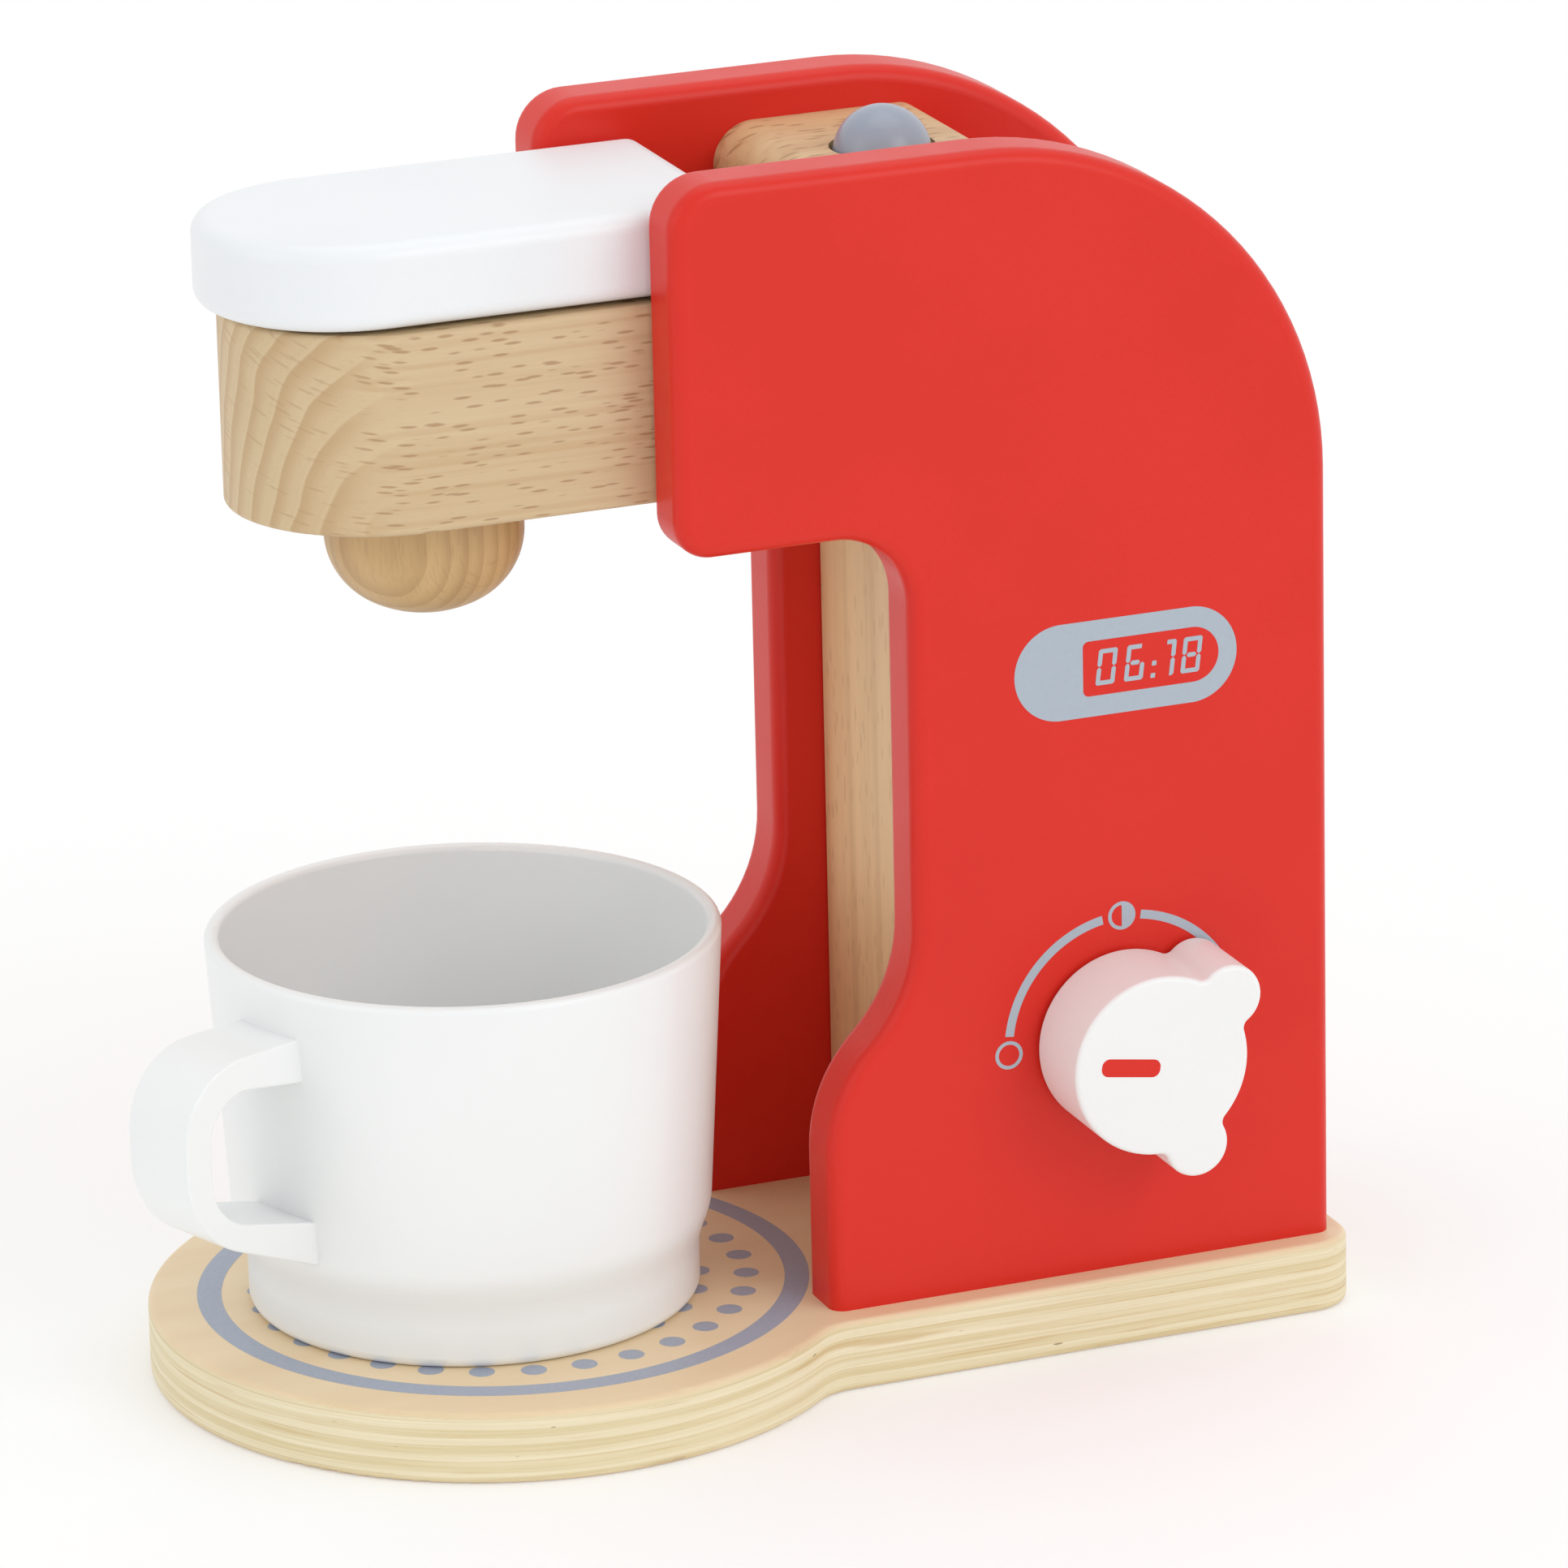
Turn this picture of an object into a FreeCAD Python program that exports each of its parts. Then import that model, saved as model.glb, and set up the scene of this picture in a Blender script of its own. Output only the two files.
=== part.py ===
"""Toy coffee maker: two painted side panels on a plywood base, beech blocks between them and a loose cup.

Frame: millimetres, +Z up, the front (cup and spout) towards -Y, the panel with the knob at +X.
The origin is on the underside of the base, below the centre of its round front.
Every size that can be set by itself is a cell of the sheet "Sizes".
"""
import FreeCAD, Part
import math
import os

import Sketcher
from FreeCAD import Placement, Rotation, Vector

doc = FreeCAD.newDocument("toy_coffee_maker")

# Driving dimensions: alias, millimetres or degrees, what it is
SIZES = (
    ("base_thick", 12, "plywood base"),
    ("disc_radius", 58, "round front of the base"),
    ("base_width", 81.6, "straight back part of the base"),
    ("base_back", 135.5, "disc centre to the back edge"),
    ("base_corner", 8, "plan radius of the two back corners"),
    ("base_neck", 10, "hollow where the disc meets the sides"),
    ("base_ease", 1.2, "rounding of the base's edges"),
    ("panels_span", 72, "over both side panels"),
    ("panel_thick", 11.5, "one side panel"),
    ("panel_round", 2.5, "routed rounding of a panel's edges"),
    ("foot_front", 43.8, "front edge of a panel's foot"),
    ("waist_front", 59.5, "front edge of a panel's waist"),
    ("bend_height", 44, "middle of the S-shaped bend above the base"),
    ("bend_radius", 26, "both arcs of that bend"),
    ("arch_height", 129.4, "underside of a panel's head above the base"),
    ("arch_radius", 12, "hollow between waist and head"),
    ("nose_front", 20.5, "front edge of a panel's head"),
    ("nose_low_radius", 6, "lower front corner of the head"),
    ("nose_top_radius", 8, "upper front corner of the head"),
    ("panel_top", 190, "panel height above the base"),
    ("panel_back", 132.2, "back edge of a panel"),
    ("crown_radius", 59, "big arc at the upper back"),
    ("head_low", 136.3, "underside of the head block above the base"),
    ("head_tall", 32.5, "head block height"),
    ("head_front", 41, "head block ahead of the disc centre"),
    ("head_ease", 1, "head block edges"),
    ("bowl_radius", 17, "round recess under the lid"),
    ("bowl_deep", 12, "depth of that recess"),
    ("bowl_place", 14, "recess centre ahead of the disc centre"),
    ("lid_gap", 0.6, "between head block and lid"),
    ("lid_side_gap", 0.5, "between lid and panel"),
    ("lid_thick", 14, "lid"),
    ("lid_front", 44.7, "lid ahead of the disc centre"),
    ("lid_back", 38, "back edge of the lid"),
    ("lid_edge", 2.8, "rounding of the lid's edges"),
    ("lid_back_edge", 3.4, "rounding of its upper back edge"),
    ("pin_radius", 2.5, "hinge pin"),
    ("pin_clear", 0.3, "running clearance of pin and spindle"),
    ("pin_in_panel", 7, "pin length inside a panel"),
    ("pin_in_lid", 14, "pin length inside the lid"),
    ("spout_place", 9.1, "spout axis ahead of the disc centre"),
    ("spout_radius", 16, "turned spout"),
    ("spout_tall", 19.7, "spout below the head block"),
    ("spout_corner", 12.5, "arc from its side to its tip"),
    ("spout_tip", 20, "arc of its blunt tip"),
    ("tenon_radius", 5, "peg on top of the spout"),
    ("tenon_long", 12, "length of that peg"),
    ("block_front", 51, "front of the top block, back of the head block"),
    ("block_back", 87.3, "back of the top block and the column"),
    ("block_top", 183.3, "top block's top above the base"),
    ("block_tall", 33, "top block height"),
    ("block_nose", 7, "rounding of its upper front edge"),
    ("block_tail", 4, "rounding of its upper back edge"),
    ("column_thick", 19.3, "column board"),
    ("column_side_gap", 0.3, "between column board and panel"),
    ("button_place", 70.6, "button axis behind the disc centre"),
    ("button_radius", 8, "ball-nosed button"),
    ("button_sink", 1.4, "ball centre below the block's top"),
    ("button_gap", 0.6, "round the button in its hole"),
    ("button_lip", 6.5, "wood left above the wide bore"),
    ("flange_radius", 10.4, "collar that keeps the button in"),
    ("flange_thick", 2.5, "thickness of that collar"),
    ("flange_rest", 0.2, "collar below the wood at rest"),
    ("bore_radius", 11, "wide bore for collar, spring and plug"),
    ("spigot_radius", 4.6, "peg under the collar that centres the spring"),
    ("spigot_long", 4, "length of that peg"),
    ("spring_high", 14, "spring at rest"),
    ("spring_radius", 6.4, "outside of the spring"),
    ("spring_wire", 1.1, "spring wire"),
    ("plug_thick", 8, "plug that closes the bore"),
    ("fit_gap", 0.05, "glue gap round dowels, tenon and plug"),
    ("dowel_radius", 4, "beech dowels"),
    ("dowel_in_panel", 8, "dowel length inside a panel"),
    ("dowel_in_block", 12, "dowel length inside a block"),
    ("hole_end_gap", 0.3, "free space at the end of a blind hole"),
    ("knob_place", 95, "knob axis behind the disc centre"),
    ("knob_height", 39.9, "knob axis above the base"),
    ("knob_radius", 15.1, "round of the knob"),
    ("knob_thick", 16, "knob"),
    ("knob_edge", 0.9, "rounding of the knob's rims"),
    ("knob_turned", 14, "degrees from the first mark, as it stands"),
    ("lobe_radius", 5.35, "each of the two grip lobes"),
    ("lobe_reach", 15.7, "lobe centre from the knob axis"),
    ("lobe_spread", 53.2, "degrees from the knob's long axis to a lobe"),
    ("lobe_blend", 1.6, "hollow where a lobe meets the round"),
    ("washer_thick", 0.5, "nylon washer behind the knob"),
    ("washer_radius", 7, "both washers"),
    ("keeper_thick", 1, "steel washer inside the panel"),
    ("spindle_radius", 4, "knob spindle"),
    ("spindle_in_knob", 12, "spindle length inside the knob"),
    ("spindle_end_play", 0.3, "keeper washer from the panel's inner face"),
    ("screw_radius", 2, "wood screw shank"),
    ("screw_head_radius", 4, "wood screw head"),
    ("screw_head_thick", 2.6, "wood screw head"),
    ("screw_long", 30, "base screws under the head"),
    ("screw_point", 4, "taper at a screw's tip"),
    ("screw_sink", 4, "counterbore in the base's underside"),
    ("screw_clear", 0.4, "round a screw head in its counterbore"),
    ("knob_screw_long", 14, "screw in the knob spindle"),
    ("cup_place", 4.9, "cup axis ahead of the disc centre"),
    ("cup_tall", 62.7, "cup"),
    ("cup_rim", 41.8, "outside radius at the rim"),
    ("cup_waist", 39, "outside radius above the step"),
    ("cup_foot", 36.8, "outside radius of the foot"),
    ("cup_step_top", 15, "top of the step"),
    ("cup_step_low", 9, "bottom of the step"),
    ("cup_step_round", 11, "both bends of the step"),
    ("cup_wall", 2.4, "cup wall"),
    ("cup_floor", 3, "cup bottom"),
    ("cup_foot_edge", 1.7, "rounding under the foot"),
    ("cup_rim_edge", 1.1, "rounding of the rim"),
    ("cup_inner_edge", 5, "rounding inside, wall to bottom"),
    ("handle_angle", -69.3, "degrees from +X to the handle"),
    ("handle_wide", 14.6, "handle strap across"),
    ("handle_reach", 64.1, "cup axis to the outside of the handle"),
    ("handle_thick", 5, "strap at its outermost place"),
    ("handle_top", 55, "top of the strap"),
    ("handle_top_in", 47.6, "finger gap's top at the wall"),
    ("handle_crown_in", 50.4, "finger gap's top at the outer bend"),
    ("handle_low", 15.8, "strap's underside at the wall"),
    ("handle_low_out", 26.9, "strap's underside carried on to the reach"),
    ("handle_low_in", 23.4, "finger gap's bottom at the wall"),
    ("handle_heel_in", 28.6, "finger gap's bottom at the outer bend"),
    ("handle_top_bend", 12.5, "outer bend at the top"),
    ("handle_low_bend", 16, "outer bend at the bottom"),
    ("handle_top_bend_in", 7.5, "inner bend at the top"),
    ("handle_low_bend_in", 9, "inner bend at the bottom"),
    ("handle_edge", 0.4, "rounding of the strap's edges"),
    ("handle_root", 1.3, "how far the strap's ends run into the wall"),
)

# Places along Y and above the base for dowels and screws
DOWEL_SIZES = (
    ("head_dowel_front", 28.5, "head block's front dowels"),
    ("head_dowel_back", 43.5, "head block's back dowels"),
    ("head_dowel_height", 15.7, "above the head block's underside"),
    ("block_dowel_front", 58, "top block's front dowels"),
    ("block_dowel_back", 81.5, "top block's back dowels"),
    ("block_dowel_height", 11.7, "above the top block's underside"),
    ("column_dowel_low", 34, "column's lower dowels above the base"),
    ("column_dowel_high", 112, "column's upper dowels above the base"),
    ("foot_screw_front", 62, "front screw of a panel"),
    ("foot_screw_back", 118, "back screw of a panel"),
    ("column_screw_out", 12, "column screws from the middle"),
)

sheet = doc.addObject("Spreadsheet::Sheet", "Sizes")


class Size:
    """A length or angle that knows its value and the sheet formula it comes from."""

    def __init__(self, value, formula):
        self.value = float(value)
        self.formula = formula

    def __add__(self, other):
        return combine(self, other, "+")

    def __sub__(self, other):
        return combine(self, other, "-")

    def __mul__(self, other):
        return combine(self, other, "*")

    def __truediv__(self, other):
        return combine(self, other, "/")

    def __neg__(self):
        return Size(-self.value, f"(-{self.formula})")


def as_size(number):
    """Returns a Size for a Size or a plain number."""
    return number if isinstance(number, Size) else Size(number, f"({number})")


def combine(first, second, sign):
    """Returns the sum, difference, product or quotient of two sizes."""
    first, second = as_size(first), as_size(second)
    value = {
        "+": lambda a, b: a + b,
        "-": lambda a, b: a - b,
        "*": lambda a, b: a * b,
        "/": lambda a, b: a / b,
    }[sign](first.value, second.value)
    return Size(value, f"({first.formula} {sign} {second.formula})")


def root(size):
    """Returns the square root of a size."""
    return Size(math.sqrt(size.value), f"sqrt({size.formula})")


def cosine(angle):
    """Returns the cosine of an angle in degrees."""
    return Size(math.cos(math.radians(angle.value)), f"cos({angle.formula} * 1 deg)")


def sine(angle):
    """Returns the sine of an angle in degrees."""
    return Size(math.sin(math.radians(angle.value)), f"sin({angle.formula} * 1 deg)")


def fill_sheet():
    """Writes the driving dimensions into the sheet and returns them by name."""
    sizes = {}
    for row, (alias, number, note) in enumerate(SIZES + DOWEL_SIZES, start=1):
        sheet.set(f"A{row}", str(number))
        sheet.setAlias(f"A{row}", alias)
        sheet.set(f"B{row}", note)
        sizes[alias] = Size(number, f"Sizes.{alias}")
    doc.recompute()
    return sizes


S = fill_sheet()
ZERO = as_size(0)

# Places that several pieces share
inner_half = S["panels_span"] / 2 - S["panel_thick"]
outer_half = S["panels_span"] / 2
floor_level = S["base_thick"]
head_low = floor_level + S["head_low"]
head_top = head_low + S["head_tall"]
lid_low = head_top + S["lid_gap"]
lid_half = inner_half - S["lid_side_gap"]
hinge_height = lid_low + S["lid_thick"] / 2
hinge_place = S["lid_back"] - S["lid_thick"] / 2
block_top = floor_level + S["block_top"]
block_low = block_top - S["block_tall"]
column_half = inner_half - S["column_side_gap"]
column_front = S["block_back"] - S["column_thick"]
column_middle = S["block_back"] - S["column_thick"] / 2
button_centre = block_top - S["button_sink"]
lip_low = block_top - S["button_lip"]
flange_top = lip_low - S["flange_rest"]
flange_low = flange_top - S["flange_thick"]
plug_top = flange_low - S["spring_high"]
plug_low = plug_top - S["plug_thick"]
knob_height = floor_level + S["knob_height"]
knob_back = outer_half + S["washer_thick"]
spindle_end = inner_half - S["spindle_end_play"]
foot_screw_side = outer_half - S["panel_thick"] / 2


def origin_plane(body, role):
    """Returns one of a body's own origin planes, such as XY_Plane."""
    return next(item for item in body.Origin.OriginFeatures if item.Role == role)


def new_body(name):
    """Returns an empty body that carries the sub-part's name."""
    body = doc.addObject("PartDesign::Body", name)
    body.Label = name
    return body


def new_sketch(body, name, role, offset=None):
    """Returns a sketch on one of the body's planes, moved along its normal by an offset."""
    sketch = body.newObject("Sketcher::SketchObject", name)
    sketch.AttachmentSupport = [(origin_plane(body, role), "")]
    sketch.MapMode = "FlatFace"
    if offset is not None:
        sketch.setExpression("AttachmentOffset.Base.z", offset.formula)
    doc.recompute()
    return sketch


def bind(sketch, kind, *where):
    """Adds a constraint whose last entry is a Size, bound to the sheet."""
    size = where[-1]
    index = sketch.addConstraint(Sketcher.Constraint(kind, *where[:-1], size.value))
    sketch.setExpression(f"Constraints[{index}]", size.formula)


def pin_point(sketch, geometry, end, place):
    """Fixes one point of a sketch at a place given as two sizes."""
    bind(sketch, "DistanceX", -1, 1, geometry, end, place[0])
    bind(sketch, "DistanceY", -1, 1, geometry, end, place[1])


def draw_polygon(sketch, corners):
    """Draws a closed outline of straight lines through corners given as pairs of sizes."""
    points = [Vector(across.value, up.value, 0) for across, up in corners]
    count = len(points)
    lines = [sketch.addGeometry(Part.LineSegment(points[i], points[(i + 1) % count])) for i in range(count)]
    for i, line in enumerate(lines):
        sketch.addConstraint(Sketcher.Constraint("Coincident", line, 2, lines[(i + 1) % count], 1))
        pin_point(sketch, line, 1, corners[i])


def draw_circle(sketch, centre, radius):
    """Draws a circle whose centre and radius are bound to the sheet."""
    middle = Vector(centre[0].value, centre[1].value, 0)
    circle = sketch.addGeometry(Part.Circle(middle, Vector(0, 0, 1), radius.value))
    pin_point(sketch, circle, 3, centre)
    bind(sketch, "Radius", circle, radius)


def draw_round_front(sketch, half, front, back):
    """Draws a board outline with a straight back and a half-round front towards -Y."""
    centre = half - front
    middle = Vector(0, centre.value, 0)
    wide = Vector(half.value, 0, 0)
    rear = Vector(0, back.value, 0)
    circle = Part.Circle(middle, Vector(0, 0, 1), half.value)
    arc = sketch.addGeometry(Part.ArcOfCircle(circle, math.pi, 2 * math.pi))
    right = sketch.addGeometry(Part.LineSegment(middle + wide, rear + wide))
    across = sketch.addGeometry(Part.LineSegment(rear + wide, rear - wide))
    left = sketch.addGeometry(Part.LineSegment(rear - wide, middle - wide))
    for first, end, second, start in ((arc, 2, right, 1), (right, 2, across, 1), (across, 2, left, 1),
                                      (left, 2, arc, 1)):
        sketch.addConstraint(Sketcher.Constraint("Coincident", first, end, second, start))
    pin_point(sketch, arc, 3, (ZERO, centre))
    pin_point(sketch, right, 1, (half, centre))
    pin_point(sketch, across, 1, (half, back))
    pin_point(sketch, left, 1, (-half, back))
    bind(sketch, "DistanceY", -1, 1, arc, 1, centre)


def add_pad(body, sketch, name, length, both_ways=False):
    """Pads a sketch along its normal, or evenly to both sides."""
    pad = body.newObject("PartDesign::Pad", name)
    pad.Profile = sketch
    pad.setExpression("Length", length.formula)
    if both_ways:
        pad.SideType = "Symmetric"
    doc.recompute()
    return pad


def add_pocket(body, sketch, name, depth, along_normal):
    """Cuts a sketch into the body, along its normal or against it, and checks that it cuts."""
    before = body.Shape.Volume
    pocket = body.newObject("PartDesign::Pocket", name)
    pocket.Profile = sketch
    pocket.setExpression("Length", depth.formula)
    pocket.Reversed = along_normal
    doc.recompute()
    if not body.Shape.Volume < before:
        raise RuntimeError(f"{name} cuts nothing")
    return pocket


def add_turning(body, sketch, name, cut=False):
    """Turns a sketch on XZ round the vertical axis, as material or as a cut."""
    before = body.Shape.Volume if cut else 0
    turned = body.newObject("PartDesign::Groove" if cut else "PartDesign::Revolution", name)
    turned.Profile = sketch
    turned.ReferenceAxis = (sketch, ["V_Axis"])
    turned.Angle = 360
    doc.recompute()
    if cut and not body.Shape.Volume < before:
        raise RuntimeError(f"{name} cuts nothing")
    return turned


def add_fillet(body, name, radius, chosen):
    """Rounds every edge of the body's last feature that passes a test."""
    base = body.Tip
    edges = [f"Edge{i}" for i, edge in enumerate(base.Shape.Edges, start=1) if chosen(edge)]
    fillet = body.newObject("PartDesign::Fillet", name)
    fillet.Base = (base, edges)
    fillet.setExpression("Radius", radius.formula)
    doc.recompute()
    return fillet


def line_through(direction, place):
    """Returns a test for straight edges that run along a direction through a place."""
    def test(edge):
        if edge.Curve.TypeId != "Part::GeomLine" or edge.Curve.Direction.cross(direction).Length > 1e-6:
            return False
        offset = edge.Vertexes[0].Point - place
        return offset.cross(direction).Length < 1e-3
    return test


def in_plane(axis, level):
    """Returns a test for edges that lie wholly in the plane axis = level."""
    def test(edge):
        box = edge.BoundBox
        low, high = {"x": (box.XMin, box.XMax), "y": (box.YMin, box.YMax), "z": (box.ZMin, box.ZMax)}[axis]
        return abs(low - level) < 1e-3 and abs(high - level) < 1e-3
    return test


ALONG_X = Vector(1, 0, 0)
ALONG_Z = Vector(0, 0, 1)


def peg(name, radius, length, place, turn="x"):
    """Returns a cylinder that starts at a place and runs along +X or +Z."""
    rod = doc.addObject("Part::Cylinder", name)
    rod.setExpression("Radius", radius.formula)
    rod.setExpression("Height", length.formula)
    if turn == "x":
        rod.Placement = Placement(Vector(), Rotation(Vector(0, 1, 0), 90))
    for axis, size in zip("xyz", place):
        rod.setExpression(f"Placement.Base.{axis}", as_size(size).formula)
    return rod


def group(name, pieces):
    """Gathers separate solids of one kind in one named sub-part."""
    bundle = doc.addObject("Part::Compound", name)
    bundle.Label = name
    bundle.Links = pieces
    doc.recompute()
    return bundle


def drill(name, blank, tools):
    """Returns the blank with every tool cut out of it, under the sub-part's name."""
    blank.Label = f"{name}_blank"
    cutters = group(f"{name}_holes", tools)
    result = doc.addObject("Part::Cut", name)
    result.Base = blank
    result.Tool = cutters
    result.Label = name
    doc.recompute()
    if not result.Shape.Volume < blank.Shape.Volume:
        raise RuntimeError(f"{name} is not drilled")
    return result


# Dowel places: name, Y and Z of each dowel that joins a block to a panel
head_dowel_places = [(S[f"head_dowel_{end}"], head_low + S["head_dowel_height"]) for end in ("front", "back")]
block_dowel_places = [(S[f"block_dowel_{end}"], block_low + S["block_dowel_height"])
                      for end in ("front", "back")]
column_dowel_places = [(column_middle, floor_level + S[f"column_dowel_{end}"]) for end in ("low", "high")]
foot_screw_places = [(side * foot_screw_side, S[f"foot_screw_{end}"])
                     for side in (as_size(1), as_size(-1)) for end in ("front", "back")]
column_screw_places = [(side * S["column_screw_out"], column_middle) for side in (as_size(1), as_size(-1))]


def dowel_group(name, places, block_half):
    """Makes the dowels of one block on both sides."""
    gap = inner_half - block_half
    inside = S["dowel_in_block"] + gap
    length = inside + S["dowel_in_panel"]
    dowels = []
    for side in (1, -1):
        start = inner_half - inside if side > 0 else -inner_half - S["dowel_in_panel"]
        for number, (along, height) in enumerate(places):
            dowels.append(peg(f"{name}_{number}_{'r' if side > 0 else 'l'}", S["dowel_radius"], length,
                              (start, along, height)))
    return group(name, dowels)


def dowel_holes(name, places, side, in_panel, half):
    """Makes the cutters for one row of dowel holes, in a panel or in a block."""
    deep = (S["dowel_in_panel"] if in_panel else S["dowel_in_block"]) + S["hole_end_gap"]
    radius = S["dowel_radius"] + S["fit_gap"]
    towards_plus = (side > 0) == in_panel
    wall = half if side > 0 else -half
    start = wall if towards_plus else wall - deep
    return [peg(f"{name}_hole_{number}", radius, deep, (start, along, height))
            for number, (along, height) in enumerate(places)]


def make_base():
    """Plywood base: a disc with a straight tail, drilled from below for the screws."""
    body = new_body("base_plate")
    half = S["base_width"] / 2
    disc = new_sketch(body, "base_disc", "XY_Plane")
    draw_circle(disc, (ZERO, ZERO), S["disc_radius"])
    add_pad(body, disc, "base_disc_pad", S["base_thick"])
    tail = new_sketch(body, "base_tail", "XY_Plane")
    draw_polygon(tail, ((half, ZERO), (half, S["base_back"]), (-half, S["base_back"]), (-half, ZERO)))
    add_pad(body, tail, "base_tail_pad", S["base_thick"])
    neck = math.sqrt(S["disc_radius"].value ** 2 - half.value ** 2)
    for name, radius, along in (("neck", S["base_neck"], neck), ("corner", S["base_corner"], S["base_back"].value)):
        tests = [line_through(ALONG_Z, Vector(side * half.value, along, 0)) for side in (1, -1)]
        add_fillet(body, f"base_{name}_round", radius, lambda edge: any(test(edge) for test in tests))
    faces = (in_plane("z", 0), in_plane("z", S["base_thick"].value))
    add_fillet(body, "base_edge_round", S["base_ease"], lambda edge: any(test(edge) for test in faces))
    heads = new_sketch(body, "base_counterbores", "XY_Plane")
    shanks = new_sketch(body, "base_clearance_holes", "XY_Plane")
    for place in foot_screw_places + column_screw_places:
        draw_circle(heads, place, S["screw_head_radius"] + S["screw_clear"])
        draw_circle(shanks, place, S["screw_radius"] + S["fit_gap"])
    add_pocket(body, heads, "base_counterbore_pockets", S["screw_sink"], True)
    add_pocket(body, shanks, "base_clearance_pockets", S["base_thick"], True)
    return body


def panel_blank(name, side):
    """One side panel before drilling: an outline with round corners and routed edges."""
    body = new_body(name)
    offset = inner_half if side > 0 else -outer_half
    sketch = new_sketch(body, f"{name}_outline", "YZ_Plane", offset)
    half_step = (S["waist_front"] - S["foot_front"]) / 2
    bend = floor_level + S["bend_height"]
    arch = floor_level + S["arch_height"]
    top = floor_level + S["panel_top"]
    corners = (
        (S["foot_front"], floor_level, None),
        (S["foot_front"], bend - half_step, S["bend_radius"]),
        (S["waist_front"], bend + half_step, S["bend_radius"]),
        (S["waist_front"], arch, S["arch_radius"]),
        (S["nose_front"], arch, S["nose_low_radius"]),
        (S["nose_front"], top, S["nose_top_radius"]),
        (S["panel_back"], top, S["crown_radius"]),
        (S["panel_back"], floor_level, None),
    )
    draw_polygon(sketch, [corner[:2] for corner in corners])
    add_pad(body, sketch, f"{name}_pad", S["panel_thick"])
    for number, (along, height, radius) in enumerate(corners):
        if radius is not None:
            add_fillet(body, f"{name}_corner_{number}", radius,
                       line_through(ALONG_X, Vector(0, along.value, height.value)))
    faces = (in_plane("x", offset.value), in_plane("x", (offset + S["panel_thick"]).value))
    ground = in_plane("z", floor_level.value)
    add_fillet(body, f"{name}_routed_edges", S["panel_round"],
               lambda edge: any(test(edge) for test in faces) and not ground(edge))
    return body


def screw_pilot(name, place):
    """Cutter for a screw's hole in a panel or the column, up from the base's top."""
    deep = S["screw_long"] - (S["base_thick"] - S["screw_sink"]) + S["hole_end_gap"]
    return peg(name, S["screw_radius"] + S["fit_gap"], deep, (*place, floor_level), turn="z")


def make_panel(name, side):
    """A side panel with its blind holes, and the knob's hole in the right one."""
    body = panel_blank(name, side)
    tools = []
    for row, places in (("head", head_dowel_places), ("block", block_dowel_places),
                        ("column", column_dowel_places)):
        tools += dowel_holes(f"{name}_{row}", places, side, True, inner_half)
    pin_deep = S["pin_in_panel"] + S["hole_end_gap"]
    pin_start = inner_half if side > 0 else -inner_half - pin_deep
    tools.append(peg(f"{name}_pin_hole", S["pin_radius"] + S["pin_clear"], pin_deep,
                     (pin_start, hinge_place, hinge_height)))
    for number, place in enumerate(foot_screw_places):
        if place[0].value * side > 0:
            tools.append(screw_pilot(f"{name}_pilot_{number}", place))
    if side > 0:
        tools.append(peg(f"{name}_spindle_hole", S["spindle_radius"] + S["pin_clear"], S["panel_thick"],
                         (inner_half, S["knob_place"], knob_height)))
    return drill(name, body, tools)


def make_head():
    """Beech head block: round front, recess under the lid, hole for the spout's peg."""
    body = new_body("head_block")
    sketch = new_sketch(body, "head_outline", "XY_Plane", head_low)
    draw_round_front(sketch, inner_half, S["head_front"], S["block_front"])
    add_pad(body, sketch, "head_pad", S["head_tall"])
    levels = (in_plane("z", head_low.value), in_plane("z", head_top.value))
    back = in_plane("y", S["block_front"].value)
    add_fillet(body, "head_edge_round", S["head_ease"],
               lambda edge: any(test(edge) for test in levels) and not back(edge))
    bowl = new_sketch(body, "head_bowl", "XY_Plane", head_top)
    draw_circle(bowl, (ZERO, -S["bowl_place"]), S["bowl_radius"])
    add_pocket(body, bowl, "head_bowl_pocket", S["bowl_deep"], False)
    socket = new_sketch(body, "head_tenon_hole", "XY_Plane", head_low)
    draw_circle(socket, (ZERO, -S["spout_place"]), S["tenon_radius"] + S["fit_gap"])
    add_pocket(body, socket, "head_tenon_pocket", S["tenon_long"] + S["hole_end_gap"], True)
    tools = []
    for side in (1, -1):
        tools += dowel_holes(f"head_{'r' if side > 0 else 'l'}", head_dowel_places, side, False, inner_half)
    return drill("head_block", body, tools)


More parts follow.
